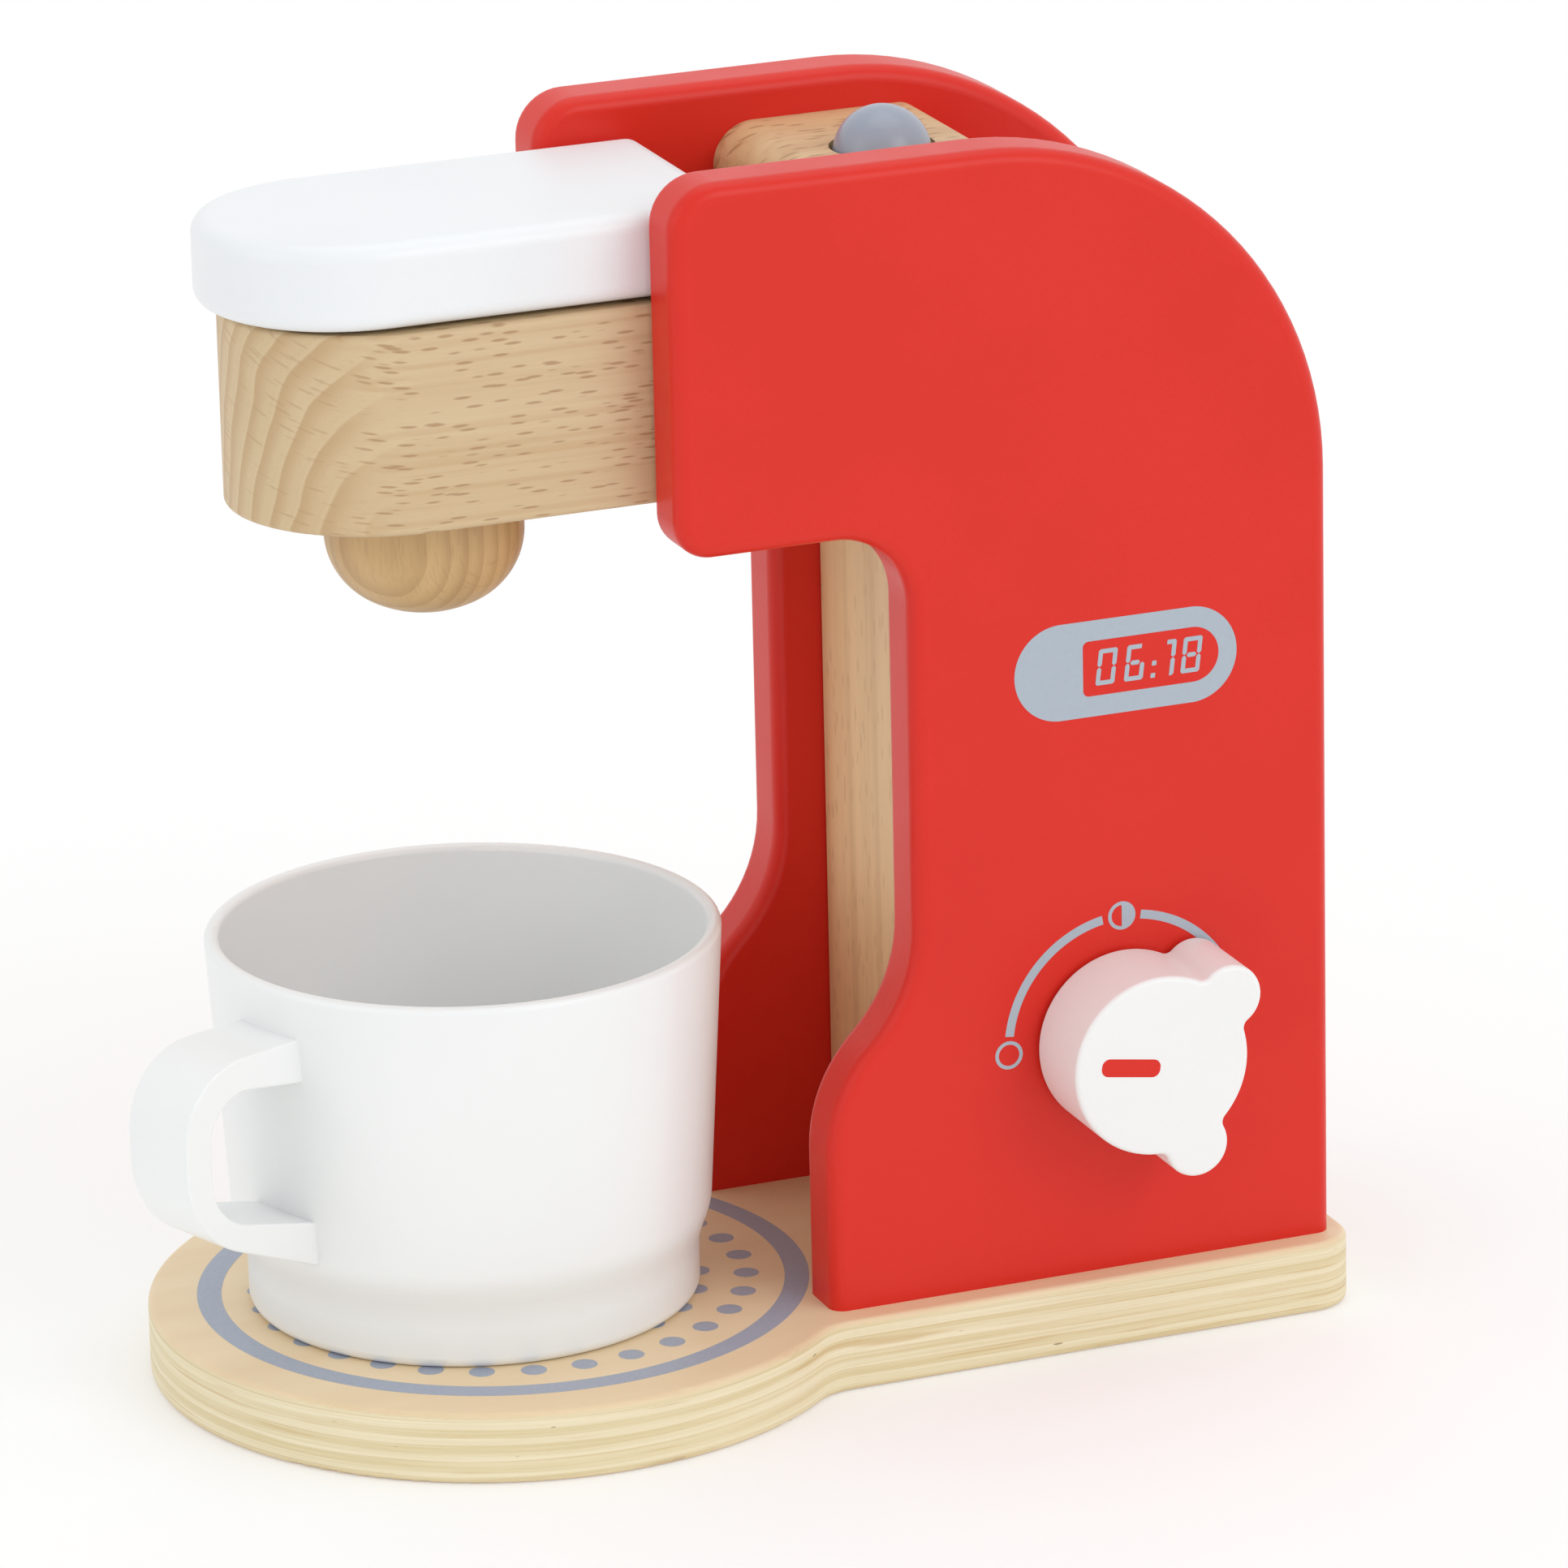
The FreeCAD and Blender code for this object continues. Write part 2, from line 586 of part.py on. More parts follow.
def make_spout():
    """Turned beech spout: a blunt dome below, a peg above."""
    body = new_body("spout_nozzle")
    sketch = new_sketch(body, "spout_profile", "XZ_Plane")
    tip_centre = S["spout_tip"] - S["spout_tall"]
    corner_across = S["spout_radius"] - S["spout_corner"]
    apart = S["spout_tip"] - S["spout_corner"]
    corner_centre = tip_centre - root(apart * apart - corner_across * corner_across)
    reach = S["spout_tip"] / apart
    meet = (corner_across * reach, tip_centre - (tip_centre - corner_centre) * reach)
    places = [
        (ZERO, -S["spout_tall"]), meet, (S["spout_radius"], corner_centre), (S["spout_radius"], ZERO),
        (S["tenon_radius"], ZERO), (S["tenon_radius"], S["tenon_long"]), (ZERO, S["tenon_long"]),
    ]
    points = [Vector(across.value, up.value, 0) for across, up in places]

    def arc(centre, radius, first, last):
        circle = Part.Circle(Vector(centre[0].value, centre[1].value, 0), Vector(0, 0, 1), radius.value)
        return sketch.addGeometry(Part.ArcOfCircle(circle, circle.parameter(first), circle.parameter(last)))

    edges = [arc((ZERO, tip_centre), S["spout_tip"], points[0], points[1]),
             arc((corner_across, corner_centre), S["spout_corner"], points[1], points[2])]
    edges += [sketch.addGeometry(Part.LineSegment(points[i], points[(i + 1) % 7])) for i in range(2, 7)]
    for i, edge in enumerate(edges):
        sketch.addConstraint(Sketcher.Constraint("Coincident", edge, 2, edges[(i + 1) % 7], 1))
    for edge, place in zip(edges, places):
        pin_point(sketch, edge, 1, place)
    bind(sketch, "Radius", edges[0], S["spout_tip"])
    bind(sketch, "Radius", edges[1], S["spout_corner"])
    add_turning(body, sketch, "spout_turning")
    body.setExpression("Placement.Base.y", (-S["spout_place"]).formula)
    body.setExpression("Placement.Base.z", head_low.formula)
    doc.recompute()
    return body


def make_lid():
    """Lid: round front, back edge rounded about its hinge pins."""
    body = new_body("lid")
    sketch = new_sketch(body, "lid_outline", "XY_Plane", lid_low)
    draw_round_front(sketch, lid_half, S["lid_front"], S["lid_back"])
    add_pad(body, sketch, "lid_pad", S["lid_thick"])
    low, high = lid_low.value, (lid_low + S["lid_thick"]).value
    back = S["lid_back"].value
    heel = S["lid_thick"] / 2 - S["lid_gap"] / 2
    add_fillet(body, "lid_heel_round", heel, line_through(ALONG_X, Vector(0, back, low)))
    add_fillet(body, "lid_back_round", S["lid_back_edge"], line_through(ALONG_X, Vector(0, back, high)))
    sides = (in_plane("x", lid_half.value), in_plane("x", -lid_half.value))
    levels = (in_plane("z", low), in_plane("z", high))

    def rim(edge):
        curved = edge.Curve.TypeId == "Part::GeomCircle" and any(test(edge) for test in levels)
        return curved or (any(test(edge) for test in sides) and edge.Curve.Direction.z == 0
                          if edge.Curve.TypeId == "Part::GeomLine" else any(test(edge) for test in sides))
    add_fillet(body, "lid_edge_round", S["lid_edge"], rim)
    deep = S["pin_in_lid"] + S["hole_end_gap"]
    radius = S["pin_radius"] + S["fit_gap"]
    tools = [peg("lid_pin_hole_r", radius, deep, (lid_half - deep, hinge_place, hinge_height)),
             peg("lid_pin_hole_l", radius, deep, (-lid_half, hinge_place, hinge_height))]
    return drill("lid", body, tools)


def make_hinge_pins():
    """Two steel pins, fast in the lid and turning in the panels."""
    length = S["pin_in_panel"] + S["lid_side_gap"] + S["pin_in_lid"]
    right = peg("hinge_pin_r", S["pin_radius"], length, (lid_half - S["pin_in_lid"], hinge_place, hinge_height))
    left = peg("hinge_pin_l", S["pin_radius"], length, (-inner_half - S["pin_in_panel"], hinge_place, hinge_height))
    return group("lid_hinge_pins", [right, left])


def make_top_block():
    """Beech block behind the lid, bored from above for the button and from below for its spring."""
    body = new_body("top_block")
    sketch = new_sketch(body, "top_block_outline", "XY_Plane", block_low)
    front, back = S["block_front"], S["block_back"]
    draw_polygon(sketch, ((inner_half, front), (inner_half, back), (-inner_half, back), (-inner_half, front)))
    add_pad(body, sketch, "top_block_pad", S["block_tall"])
    for name, radius, along in (("nose", S["block_nose"], front), ("tail", S["block_tail"], back)):
        add_fillet(body, f"top_block_{name}", radius, line_through(ALONG_X, Vector(0, along.value, block_top.value)))
    axis = (ZERO, S["button_place"])
    narrow = new_sketch(body, "button_hole", "XY_Plane", block_top)
    draw_circle(narrow, axis, S["button_radius"] + S["button_gap"])
    add_pocket(body, narrow, "button_hole_pocket", S["button_lip"], False)
    wide = new_sketch(body, "spring_bore", "XY_Plane", block_low)
    draw_circle(wide, axis, S["bore_radius"])
    add_pocket(body, wide, "spring_bore_pocket", S["block_tall"] - S["button_lip"], True)
    tools = []
    for side in (1, -1):
        tools += dowel_holes(f"block_{'r' if side > 0 else 'l'}", block_dowel_places, side, False, inner_half)
    return drill("top_block", body, tools)


def make_column():
    """Beech board that stands between the panels, from the base to the top block."""
    body = new_body("column_board")
    sketch = new_sketch(body, "column_outline", "XY_Plane", floor_level)
    front, back = column_front, S["block_back"]
    draw_polygon(sketch, ((column_half, front), (column_half, back), (-column_half, back), (-column_half, front)))
    add_pad(body, sketch, "column_pad", block_low - floor_level)
    tools = []
    for side in (1, -1):
        tools += dowel_holes(f"column_{'r' if side > 0 else 'l'}", column_dowel_places, side, False, column_half)
    for number, place in enumerate(column_screw_places):
        tools.append(screw_pilot(f"column_pilot_{number}", place))
    return drill("column_board", body, tools)


def make_button():
    """Ball-nosed button with the collar that keeps it in and a peg for the spring."""
    body = new_body("button")
    sketch = new_sketch(body, "button_profile", "XZ_Plane")
    ball = S["button_radius"]
    top, low, end = (level - button_centre for level in (flange_top, flange_low, flange_low - S["spigot_long"]))
    places = [
        (ball, ZERO), (ZERO, ball), (ZERO, end), (S["spigot_radius"], end), (S["spigot_radius"], low),
        (S["flange_radius"], low), (S["flange_radius"], top), (ball, top),
    ]
    points = [Vector(across.value, up.value, 0) for across, up in places]
    circle = Part.Circle(Vector(0, 0, 0), Vector(0, 0, 1), ball.value)
    edges = [sketch.addGeometry(Part.ArcOfCircle(circle, 0, math.pi / 2))]
    edges += [sketch.addGeometry(Part.LineSegment(points[i], points[(i + 1) % 8])) for i in range(1, 8)]
    for i, edge in enumerate(edges):
        sketch.addConstraint(Sketcher.Constraint("Coincident", edge, 2, edges[(i + 1) % 8], 1))
    for edge, place in zip(edges, places):
        pin_point(sketch, edge, 1, place)
    bind(sketch, "Radius", edges[0], ball)
    add_turning(body, sketch, "button_turning")
    body.setExpression("Placement.Base.y", S["button_place"].formula)
    body.setExpression("Placement.Base.z", button_centre.formula)
    doc.recompute()
    return body


def make_spring():
    """The button's return spring, as the sleeve of space that its turns fill."""
    outer = peg("spring_outside", S["spring_radius"], S["spring_high"], (ZERO, S["button_place"], plug_top), "z")
    inner = peg("spring_inside", S["spring_radius"] - S["spring_wire"], S["spring_high"],
                (ZERO, S["button_place"], plug_top), "z")
    return drill("button_spring", outer, [inner])


def make_plug():
    """Turned plug glued into the bore under the spring."""
    plug = peg("spring_plug", S["bore_radius"] - S["fit_gap"], S["plug_thick"],
               (ZERO, S["button_place"], plug_low), "z")
    plug.Label = "spring_plug"
    return plug


def make_screw(name, long, place, turn):
    """A pan-head wood screw: head, shank and point, along +Z or +X from under its head."""
    shank_long = long - S["screw_point"]
    head = doc.addObject("Part::Cylinder", f"{name}_head")
    head.setExpression("Radius", S["screw_head_radius"].formula)
    head.setExpression("Height", S["screw_head_thick"].formula)
    head.setExpression("Placement.Base.z", (-S["screw_head_thick"]).formula)
    shank = doc.addObject("Part::Cylinder", f"{name}_shank")
    shank.setExpression("Radius", S["screw_radius"].formula)
    shank.setExpression("Height", shank_long.formula)
    point = doc.addObject("Part::Cone", f"{name}_point")
    point.setExpression("Radius1", S["screw_radius"].formula)
    point.setExpression("Radius2", (S["screw_radius"] / 8).formula)
    point.setExpression("Height", S["screw_point"].formula)
    point.setExpression("Placement.Base.z", shank_long.formula)
    screw = doc.addObject("Part::MultiFuse", name)
    screw.Shapes = [head, shank, point]
    if turn == "x":
        screw.Placement = Placement(Vector(), Rotation(Vector(0, 1, 0), 90))
    for axis, size in zip("xyz", place):
        screw.setExpression(f"Placement.Base.{axis}", size.formula)
    doc.recompute()
    return screw


def make_base_screws():
    """Six screws from below: two into each panel, two into the column."""
    places = foot_screw_places + column_screw_places
    return group("base_screws", [make_screw(f"base_screw_{number}", S["screw_long"], (*place, S["screw_sink"]), "z")
                                 for number, place in enumerate(places)])


def make_knob():
    """Knob: a thick round with two grip lobes opposite its pointer, bored for the spindle."""
    body = new_body("knob")
    disc = new_sketch(body, "knob_round", "YZ_Plane")
    draw_circle(disc, (ZERO, ZERO), S["knob_radius"])
    add_pad(body, disc, "knob_round_pad", S["knob_thick"])
    for number, side in enumerate((1, -1)):
        angle = S["lobe_spread"] * side
        lobe = new_sketch(body, f"knob_lobe_{number}", "YZ_Plane")
        draw_circle(lobe, (S["lobe_reach"] * cosine(angle), S["lobe_reach"] * sine(angle)), S["lobe_radius"])
        add_pad(body, lobe, f"knob_lobe_pad_{number}", S["knob_thick"])
    add_fillet(body, "knob_lobe_blends", S["lobe_blend"],
               lambda edge: edge.Curve.TypeId == "Part::GeomLine" and
               abs(math.hypot(edge.Vertexes[0].Y, edge.Vertexes[0].Z) - S["knob_radius"].value) < 1e-3 and
               edge.Vertexes[0].Y > 1e-3)
    rims = (in_plane("x", 0), in_plane("x", S["knob_thick"].value))
    add_fillet(body, "knob_rim_round", S["knob_edge"], lambda edge: any(test(edge) for test in rims))
    bore = new_sketch(body, "knob_bore", "YZ_Plane")
    draw_circle(bore, (ZERO, ZERO), S["spindle_radius"] + S["fit_gap"])
    add_pocket(body, bore, "knob_bore_pocket", S["spindle_in_knob"] + S["hole_end_gap"], True)
    body.Placement = Placement(Vector(), Rotation(Vector(1, 0, 0), -S["knob_turned"].value))
    body.setExpression("Placement.Rotation.Angle", (-S["knob_turned"]).formula)
    for axis, size in zip("xyz", (knob_back, S["knob_place"], knob_height)):
        body.setExpression(f"Placement.Base.{axis}", size.formula)
    doc.recompute()
    return body


def make_knob_hardware():
    """Spindle, the washers on both sides of the panel and the screw that holds them."""
    axis = (S["knob_place"], knob_height)
    length = knob_back + S["spindle_in_knob"] - spindle_end
    blank = peg("spindle_blank", S["spindle_radius"], length, (spindle_end, *axis))
    pilot = peg("spindle_pilot", S["screw_radius"] + S["fit_gap"], S["knob_screw_long"], (spindle_end, *axis))
    parts = [drill("knob_spindle", blank, [pilot])]
    for name, thick, start, hole in (
            ("knob_washer", S["washer_thick"], outer_half, S["spindle_radius"] + S["fit_gap"]),
            ("keeper_washer", S["keeper_thick"], spindle_end - S["keeper_thick"], S["screw_radius"] + S["fit_gap"])):
        disc = peg(f"{name}_disc", S["washer_radius"], thick, (start, *axis))
        parts.append(drill(name, disc, [peg(f"{name}_hole", hole, thick, (start, *axis))]))
    screw = make_screw("knob_screw", S["knob_screw_long"], (spindle_end - S["keeper_thick"], *axis), "x")
    screw.Label = "knob_screw"
    return parts + [screw]


def make_cup():
    """Cup with a stepped foot and a strap handle, its axis at the body's own origin."""
    body = new_body("cup")
    outside = new_sketch(body, "cup_outside", "XZ_Plane")
    draw_polygon(outside, ((ZERO, ZERO), (S["cup_foot"], ZERO), (S["cup_foot"], S["cup_step_low"]),
                           (S["cup_waist"], S["cup_step_top"]), (S["cup_rim"], S["cup_tall"]),
                           (ZERO, S["cup_tall"])))
    add_turning(body, outside, "cup_turning")
    bends = (in_plane("z", S["cup_step_low"].value), in_plane("z", S["cup_step_top"].value))
    add_fillet(body, "cup_step_bends", S["cup_step_round"], lambda edge: any(test(edge) for test in bends))
    strap = new_sketch(body, "handle_outline", "XZ_Plane")
    slope = (S["cup_rim"] - S["cup_waist"]) / (S["cup_tall"] - S["cup_step_top"])

    def wall_at(height):
        return S["cup_waist"] - S["handle_root"] + slope * (height - S["cup_step_top"])

    inside = S["handle_reach"] - S["handle_thick"]
    corners = (
        (wall_at(S["handle_top"]), S["handle_top"], None),
        (S["handle_reach"], S["handle_top"], S["handle_top_bend"]),
        (S["handle_reach"], S["handle_low_out"], S["handle_low_bend"]),
        (wall_at(S["handle_low"]), S["handle_low"], None),
        (wall_at(S["handle_low_in"]), S["handle_low_in"], None),
        (inside, S["handle_heel_in"], S["handle_low_bend_in"]),
        (inside, S["handle_crown_in"], S["handle_top_bend_in"]),
        (wall_at(S["handle_top_in"]), S["handle_top_in"], None),
    )
    draw_polygon(strap, [corner[:2] for corner in corners])
    add_pad(body, strap, "handle_pad", S["handle_wide"], both_ways=True)
    for number, (across, height, radius) in enumerate(corners):
        if radius is not None:
            add_fillet(body, f"handle_bend_{number}", radius,
                       line_through(Vector(0, 1, 0), Vector(across.value, 0, height.value)))
    half = S["handle_wide"].value / 2
    sides = (in_plane("y", half), in_plane("y", -half))
    add_fillet(body, "handle_edge_round", S["handle_edge"],
               lambda edge: any(test(edge) for test in sides) and edge.BoundBox.XMax > S["cup_rim"].value)
    inner = new_sketch(body, "cup_inside", "XZ_Plane")
    foot_wall = S["cup_foot"] - S["cup_wall"]
    draw_polygon(inner, ((ZERO, S["cup_floor"]), (foot_wall, S["cup_floor"]), (foot_wall, S["cup_step_low"]),
                         (S["cup_waist"] - S["cup_wall"], S["cup_step_top"]),
                         (S["cup_rim"] - S["cup_wall"], S["cup_tall"]), (ZERO, S["cup_tall"])))
    add_turning(body, inner, "cup_hollow", cut=True)
    add_fillet(body, "cup_rim_round", S["cup_rim_edge"], in_plane("z", S["cup_tall"].value))
    add_fillet(body, "cup_foot_round", S["cup_foot_edge"], in_plane("z", 0))
    add_fillet(body, "cup_inner_round", S["cup_inner_edge"], in_plane("z", S["cup_floor"].value))
    body.Placement = Placement(Vector(), Rotation(ALONG_Z, S["handle_angle"].value))
    body.setExpression("Placement.Rotation.Angle", S["handle_angle"].formula)
    body.setExpression("Placement.Base.y", (-S["cup_place"]).formula)
    body.setExpression("Placement.Base.z", floor_level.formula)
    doc.recompute()
    return body


def check_document():
    """Stops if any object of the document failed to recompute."""
    doc.recompute()
    for item in doc.Objects:
        if {"Invalid", "Error"} & set(item.State):
            raise RuntimeError(f"{item.Label}: {item.State}")


def export(parts):
    """Writes each sub-part to parts/NAME.step after checking its shape."""
    os.makedirs("parts", exist_ok=True)
    for part in parts:
        shape = part.Shape
        if shape.isNull() or not shape.isValid() or not shape.Solids:
            raise RuntimeError(f"{part.Label} has no valid solid")
    for part in parts:
        part.Shape.exportStep(f"parts/{part.Label}.step")
        print(f"{part.Label}: {len(part.Shape.Solids)} solid(s), {part.Shape.Volume:.0f} mm3")


sub_parts = [
    make_base(),
    make_panel("right_side_panel", 1),
    make_panel("left_side_panel", -1),
    make_head(),
    make_spout(),
    make_lid(),
    make_hinge_pins(),
    make_top_block(),
    make_column(),
    make_button(),
    make_spring(),
    make_plug(),
    dowel_group("head_dowels", head_dowel_places, inner_half),
    dowel_group("top_block_dowels", block_dowel_places, inner_half),
    dowel_group("column_dowels", column_dowel_places, column_half),
    make_base_screws(),
    make_knob(),
    *make_knob_hardware(),
    make_cup(),
]
check_document()
export(sub_parts)
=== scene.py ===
"""Looks of the toy coffee maker: finishes, printed marks, stage, light and camera.

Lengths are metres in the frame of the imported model: +Z up, the front towards -Y, the knob's panel at +X.
"""
from __future__ import annotations

import logging
import math
from dataclasses import dataclass
from enum import Enum
from typing import Callable, Iterable, Sequence

import bpy
from mathutils import Matrix, Vector

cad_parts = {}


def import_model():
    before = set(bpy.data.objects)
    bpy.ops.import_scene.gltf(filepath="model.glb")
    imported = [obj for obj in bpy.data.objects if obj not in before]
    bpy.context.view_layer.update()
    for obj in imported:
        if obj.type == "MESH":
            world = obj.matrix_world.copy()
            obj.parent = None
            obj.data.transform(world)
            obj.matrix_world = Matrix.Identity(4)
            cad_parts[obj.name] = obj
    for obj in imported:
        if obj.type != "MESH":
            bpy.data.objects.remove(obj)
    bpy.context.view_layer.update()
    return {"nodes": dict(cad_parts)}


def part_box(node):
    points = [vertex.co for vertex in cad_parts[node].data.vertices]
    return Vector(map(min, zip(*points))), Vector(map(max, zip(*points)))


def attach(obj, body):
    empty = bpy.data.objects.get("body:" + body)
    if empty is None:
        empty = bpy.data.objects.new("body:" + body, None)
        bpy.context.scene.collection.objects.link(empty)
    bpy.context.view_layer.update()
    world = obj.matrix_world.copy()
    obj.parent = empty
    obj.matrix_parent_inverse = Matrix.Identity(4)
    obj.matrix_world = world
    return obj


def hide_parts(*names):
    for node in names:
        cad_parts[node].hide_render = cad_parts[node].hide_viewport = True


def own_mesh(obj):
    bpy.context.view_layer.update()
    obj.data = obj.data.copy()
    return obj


log = logging.getLogger("toy_coffee_maker")

MM = 0.001
HAIR = 0.001 * MM
Colour = tuple[float, float, float, float]


def paint(red: int, green: int, blue: int) -> Colour:
    """Turns a colour of 0 to 255 as seen on a screen into the linear colour that shaders use.

    Args:
        red: Red part.
        green: Green part.
        blue: Blue part.

    Returns:
        The colour with full alpha.
    """
    def linear(part: int) -> float:
        """Undoes the screen's curve for one part."""
        share = part / 255
        return share / 12.92 if share <= 0.04045 else ((share + 0.055) / 1.055) ** 2.4

    return (linear(red), linear(green), linear(blue), 1.0)


class Axis(Enum):
    """The direction that a board's grain follows, as an index into x, y, z."""

    X = 0
    Y = 1
    Z = 2


class Wire:
    """A number socket that adds Math nodes when it is used in an expression."""

    def __init__(self, tree: bpy.types.NodeTree, socket: bpy.types.NodeSocket) -> None:
        """Wraps one output socket of a tree."""
        self.tree = tree
        self.socket = socket

    def math(self, operation: str, *others: "Wire | float", swap: bool = False) -> "Wire":
        """Adds one Math node.

        Args:
            operation: The node's operation, such as "ADD".
            others: The further inputs, sockets or numbers.
            swap: True puts this socket second.

        Returns:
            The node's result.
        """
        node = self.tree.nodes.new("ShaderNodeMath")
        node.operation = operation
        values = [self, *others]
        if swap:
            values.reverse()
        for slot, value in zip(node.inputs, values):
            if isinstance(value, Wire):
                self.tree.links.new(value.socket, slot)
            else:
                slot.default_value = value
        return Wire(self.tree, node.outputs[0])

    def __add__(self, other: "Wire | float") -> "Wire":
        """Adds."""
        return self.math("ADD", other)

    __radd__ = __add__

    def __mul__(self, other: "Wire | float") -> "Wire":
        """Multiplies."""
        return self.math("MULTIPLY", other)

    __rmul__ = __mul__

    def __sub__(self, other: "Wire | float") -> "Wire":
        """Subtracts the other."""
        return self.math("SUBTRACT", other)

    def __rsub__(self, other: float) -> "Wire":
        """Is subtracted from the other."""
        return self.math("SUBTRACT", other, swap=True)

    def __truediv__(self, other: "Wire | float") -> "Wire":
        """Divides by the other."""
        return self.math("DIVIDE", other)

    def root(self) -> "Wire":
        """Takes the square root."""
        return self.math("SQRT")

    def wave(self) -> "Wire":
        """Takes the sine, moved to run from 0 to 1."""
        return self.math("SINE") * 0.5 + 0.5

    def ramp(self, low: float, high: float) -> "Wire":
        """Runs smoothly from 0 below low to 1 above high.

        Args:
            low: Where the ramp starts.
            high: Where it ends; below low, the ramp falls.

        Returns:
            The ramp's value.
        """
        node = self.tree.nodes.new("ShaderNodeMapRange")
        node.interpolation_type = "SMOOTHSTEP"
        self.tree.links.new(self.socket, node.inputs["Value"])
        node.inputs["From Min"].default_value = min(low, high)
        node.inputs["From Max"].default_value = max(low, high)
        node.inputs["To Min"].default_value = 0.0 if low < high else 1.0
        node.inputs["To Max"].default_value = 1.0 if low < high else 0.0
        return Wire(self.tree, node.outputs["Result"])


class Recipe:
    """A material while its nodes are put together."""

    def __init__(self, name: str) -> None:
        """Starts a material with a Principled shader and Object coordinates.

        Args:
            name: The material's name.
        """
        self.material = bpy.data.materials.new(name)
        self.material.use_nodes = True
        self.tree = self.material.node_tree
        self.shader = next(node for node in self.tree.nodes if node.type == "BSDF_PRINCIPLED")
        self.place = self.add("ShaderNodeTexCoord").outputs["Object"]
        split = self.add("ShaderNodeSeparateXYZ", Vector=self.place)
        self.axes = [Wire(self.tree, socket) for socket in split.outputs]
        self.x, self.y, self.z = self.axes

    def add(self, kind: str, settings: dict[str, object] | None = None, **inputs: object) -> bpy.types.Node:
        """Adds any node.

        Args:
            kind: The node's type.
            settings: Properties that are set first.
            inputs: Values or links by the socket's name, with _ for a space.

        Returns:
            The node.
        """
        node = self.tree.nodes.new(kind)
        for key, value in (settings or {}).items():
            setattr(node, key, value)
        for key, value in inputs.items():
            self.feed(node.inputs[key.replace("_", " ")], value)
        return node

    def feed(self, slot: bpy.types.NodeSocket, value: object) -> None:
        """Links a socket or sets its value.

        Args:
            slot: The input.
            value: A wire, a socket or a plain value.
        """
        if isinstance(value, Wire):
            value = value.socket
        if isinstance(value, bpy.types.NodeSocket):
            self.tree.links.new(value, slot)
        else:
            slot.default_value = value

    def vector(self, x: "Wire | float", y: "Wire | float", z: "Wire | float") -> bpy.types.NodeSocket:
        """Joins three numbers into a vector."""
        return self.add("ShaderNodeCombineXYZ", X=x, Y=y, Z=z).outputs[0]

    def noise(self, vector: bpy.types.NodeSocket, scale: float, detail: float = 2.0) -> Wire:
        """Adds smooth noise around 0.5.

        Args:
            vector: Where it is read.
            scale: Lumps per unit of the vector.
            detail: Finer layers added.

        Returns:
            The noise.
        """
        node = self.add("ShaderNodeTexNoise", Vector=vector, Scale=scale, Detail=detail)
        return Wire(self.tree, node.outputs["Fac"])

    def mix(self, share: "Wire | float", first: object, second: object) -> bpy.types.NodeSocket:
        """Mixes two colours.

        Args:
            share: 0 gives the first, 1 the second.
            first: A colour or its socket.
            second: A colour or its socket.

        Returns:
            The mixed colour.
        """
        node = self.add("ShaderNodeMix", {"data_type": "RGBA", "clamp_factor": True})
        self.feed(node.inputs[0], share)
        self.feed(node.inputs[6], first)
        self.feed(node.inputs[7], second)
        return node.outputs[2]

    def bump(self, height: Wire, depth: float) -> None:
        """Feeds the shader's normal with a relief.

        Args:
            height: The relief, from 0 to 1.
            depth: What 1 stands for, in metres.
        """
        node = self.add("ShaderNodeBump", Height=height, Distance=depth, Strength=1.0)
        self.feed(self.shader.inputs["Normal"], node.outputs[0])

    def finish(self, colour: object, roughness: "Wire | float", **fixed: float) -> bpy.types.Material:
        """Feeds colour and roughness and sets the rest on the shader itself.

        Args:
            colour: A colour or its socket.
            roughness: A number or its socket.
            fixed: Other sockets by name, with _ for a space.

        Returns:
            The material.
        """
        self.feed(self.shader.inputs["Base Color"], colour)
        self.feed(self.shader.inputs["Roughness"], roughness)
        for key, value in fixed.items():
            self.feed(self.shader.inputs[key.replace("_", " ")], value)
        return self.material


def every(lumps: float) -> tuple[float, float, float]:
    """Returns the same lumps per metre on every axis."""
    return (lumps, lumps, lumps)


def streak(long: float, thin: float) -> tuple[float, float, float]:
    """Returns the lumps per metre of streaks drawn out along a board that lies flat."""
    return (1 / long, 1 / long, 1 / thin)


@dataclass(frozen=True)
class Layer:
    """One layer of smooth noise: lumps per metre on three axes, the band it fades in over, and its share."""

    lumps: tuple[float, float, float]
    band: tuple[float, float] = (0.0, 1.0)
    share: float = 1.0
    detail: float = 2.0

    def raw(self, recipe: Recipe, place: Sequence[Wire]) -> Wire:
        """Adds the layer's plain noise to a material.

        Args:
            recipe: The material being built.
            place: Three coordinates.

        Returns:
            The noise, around 0.5.
        """
        scaled = [part * lumps for part, lumps in zip(place, self.lumps)]
        return recipe.noise(recipe.vector(*scaled), 1.0, self.detail)

    def cover(self, recipe: Recipe, place: Sequence[Wire]) -> Wire:
        """Adds the layer to a material, from 0 to its share."""
        return self.raw(recipe, place).ramp(*self.band) * self.share


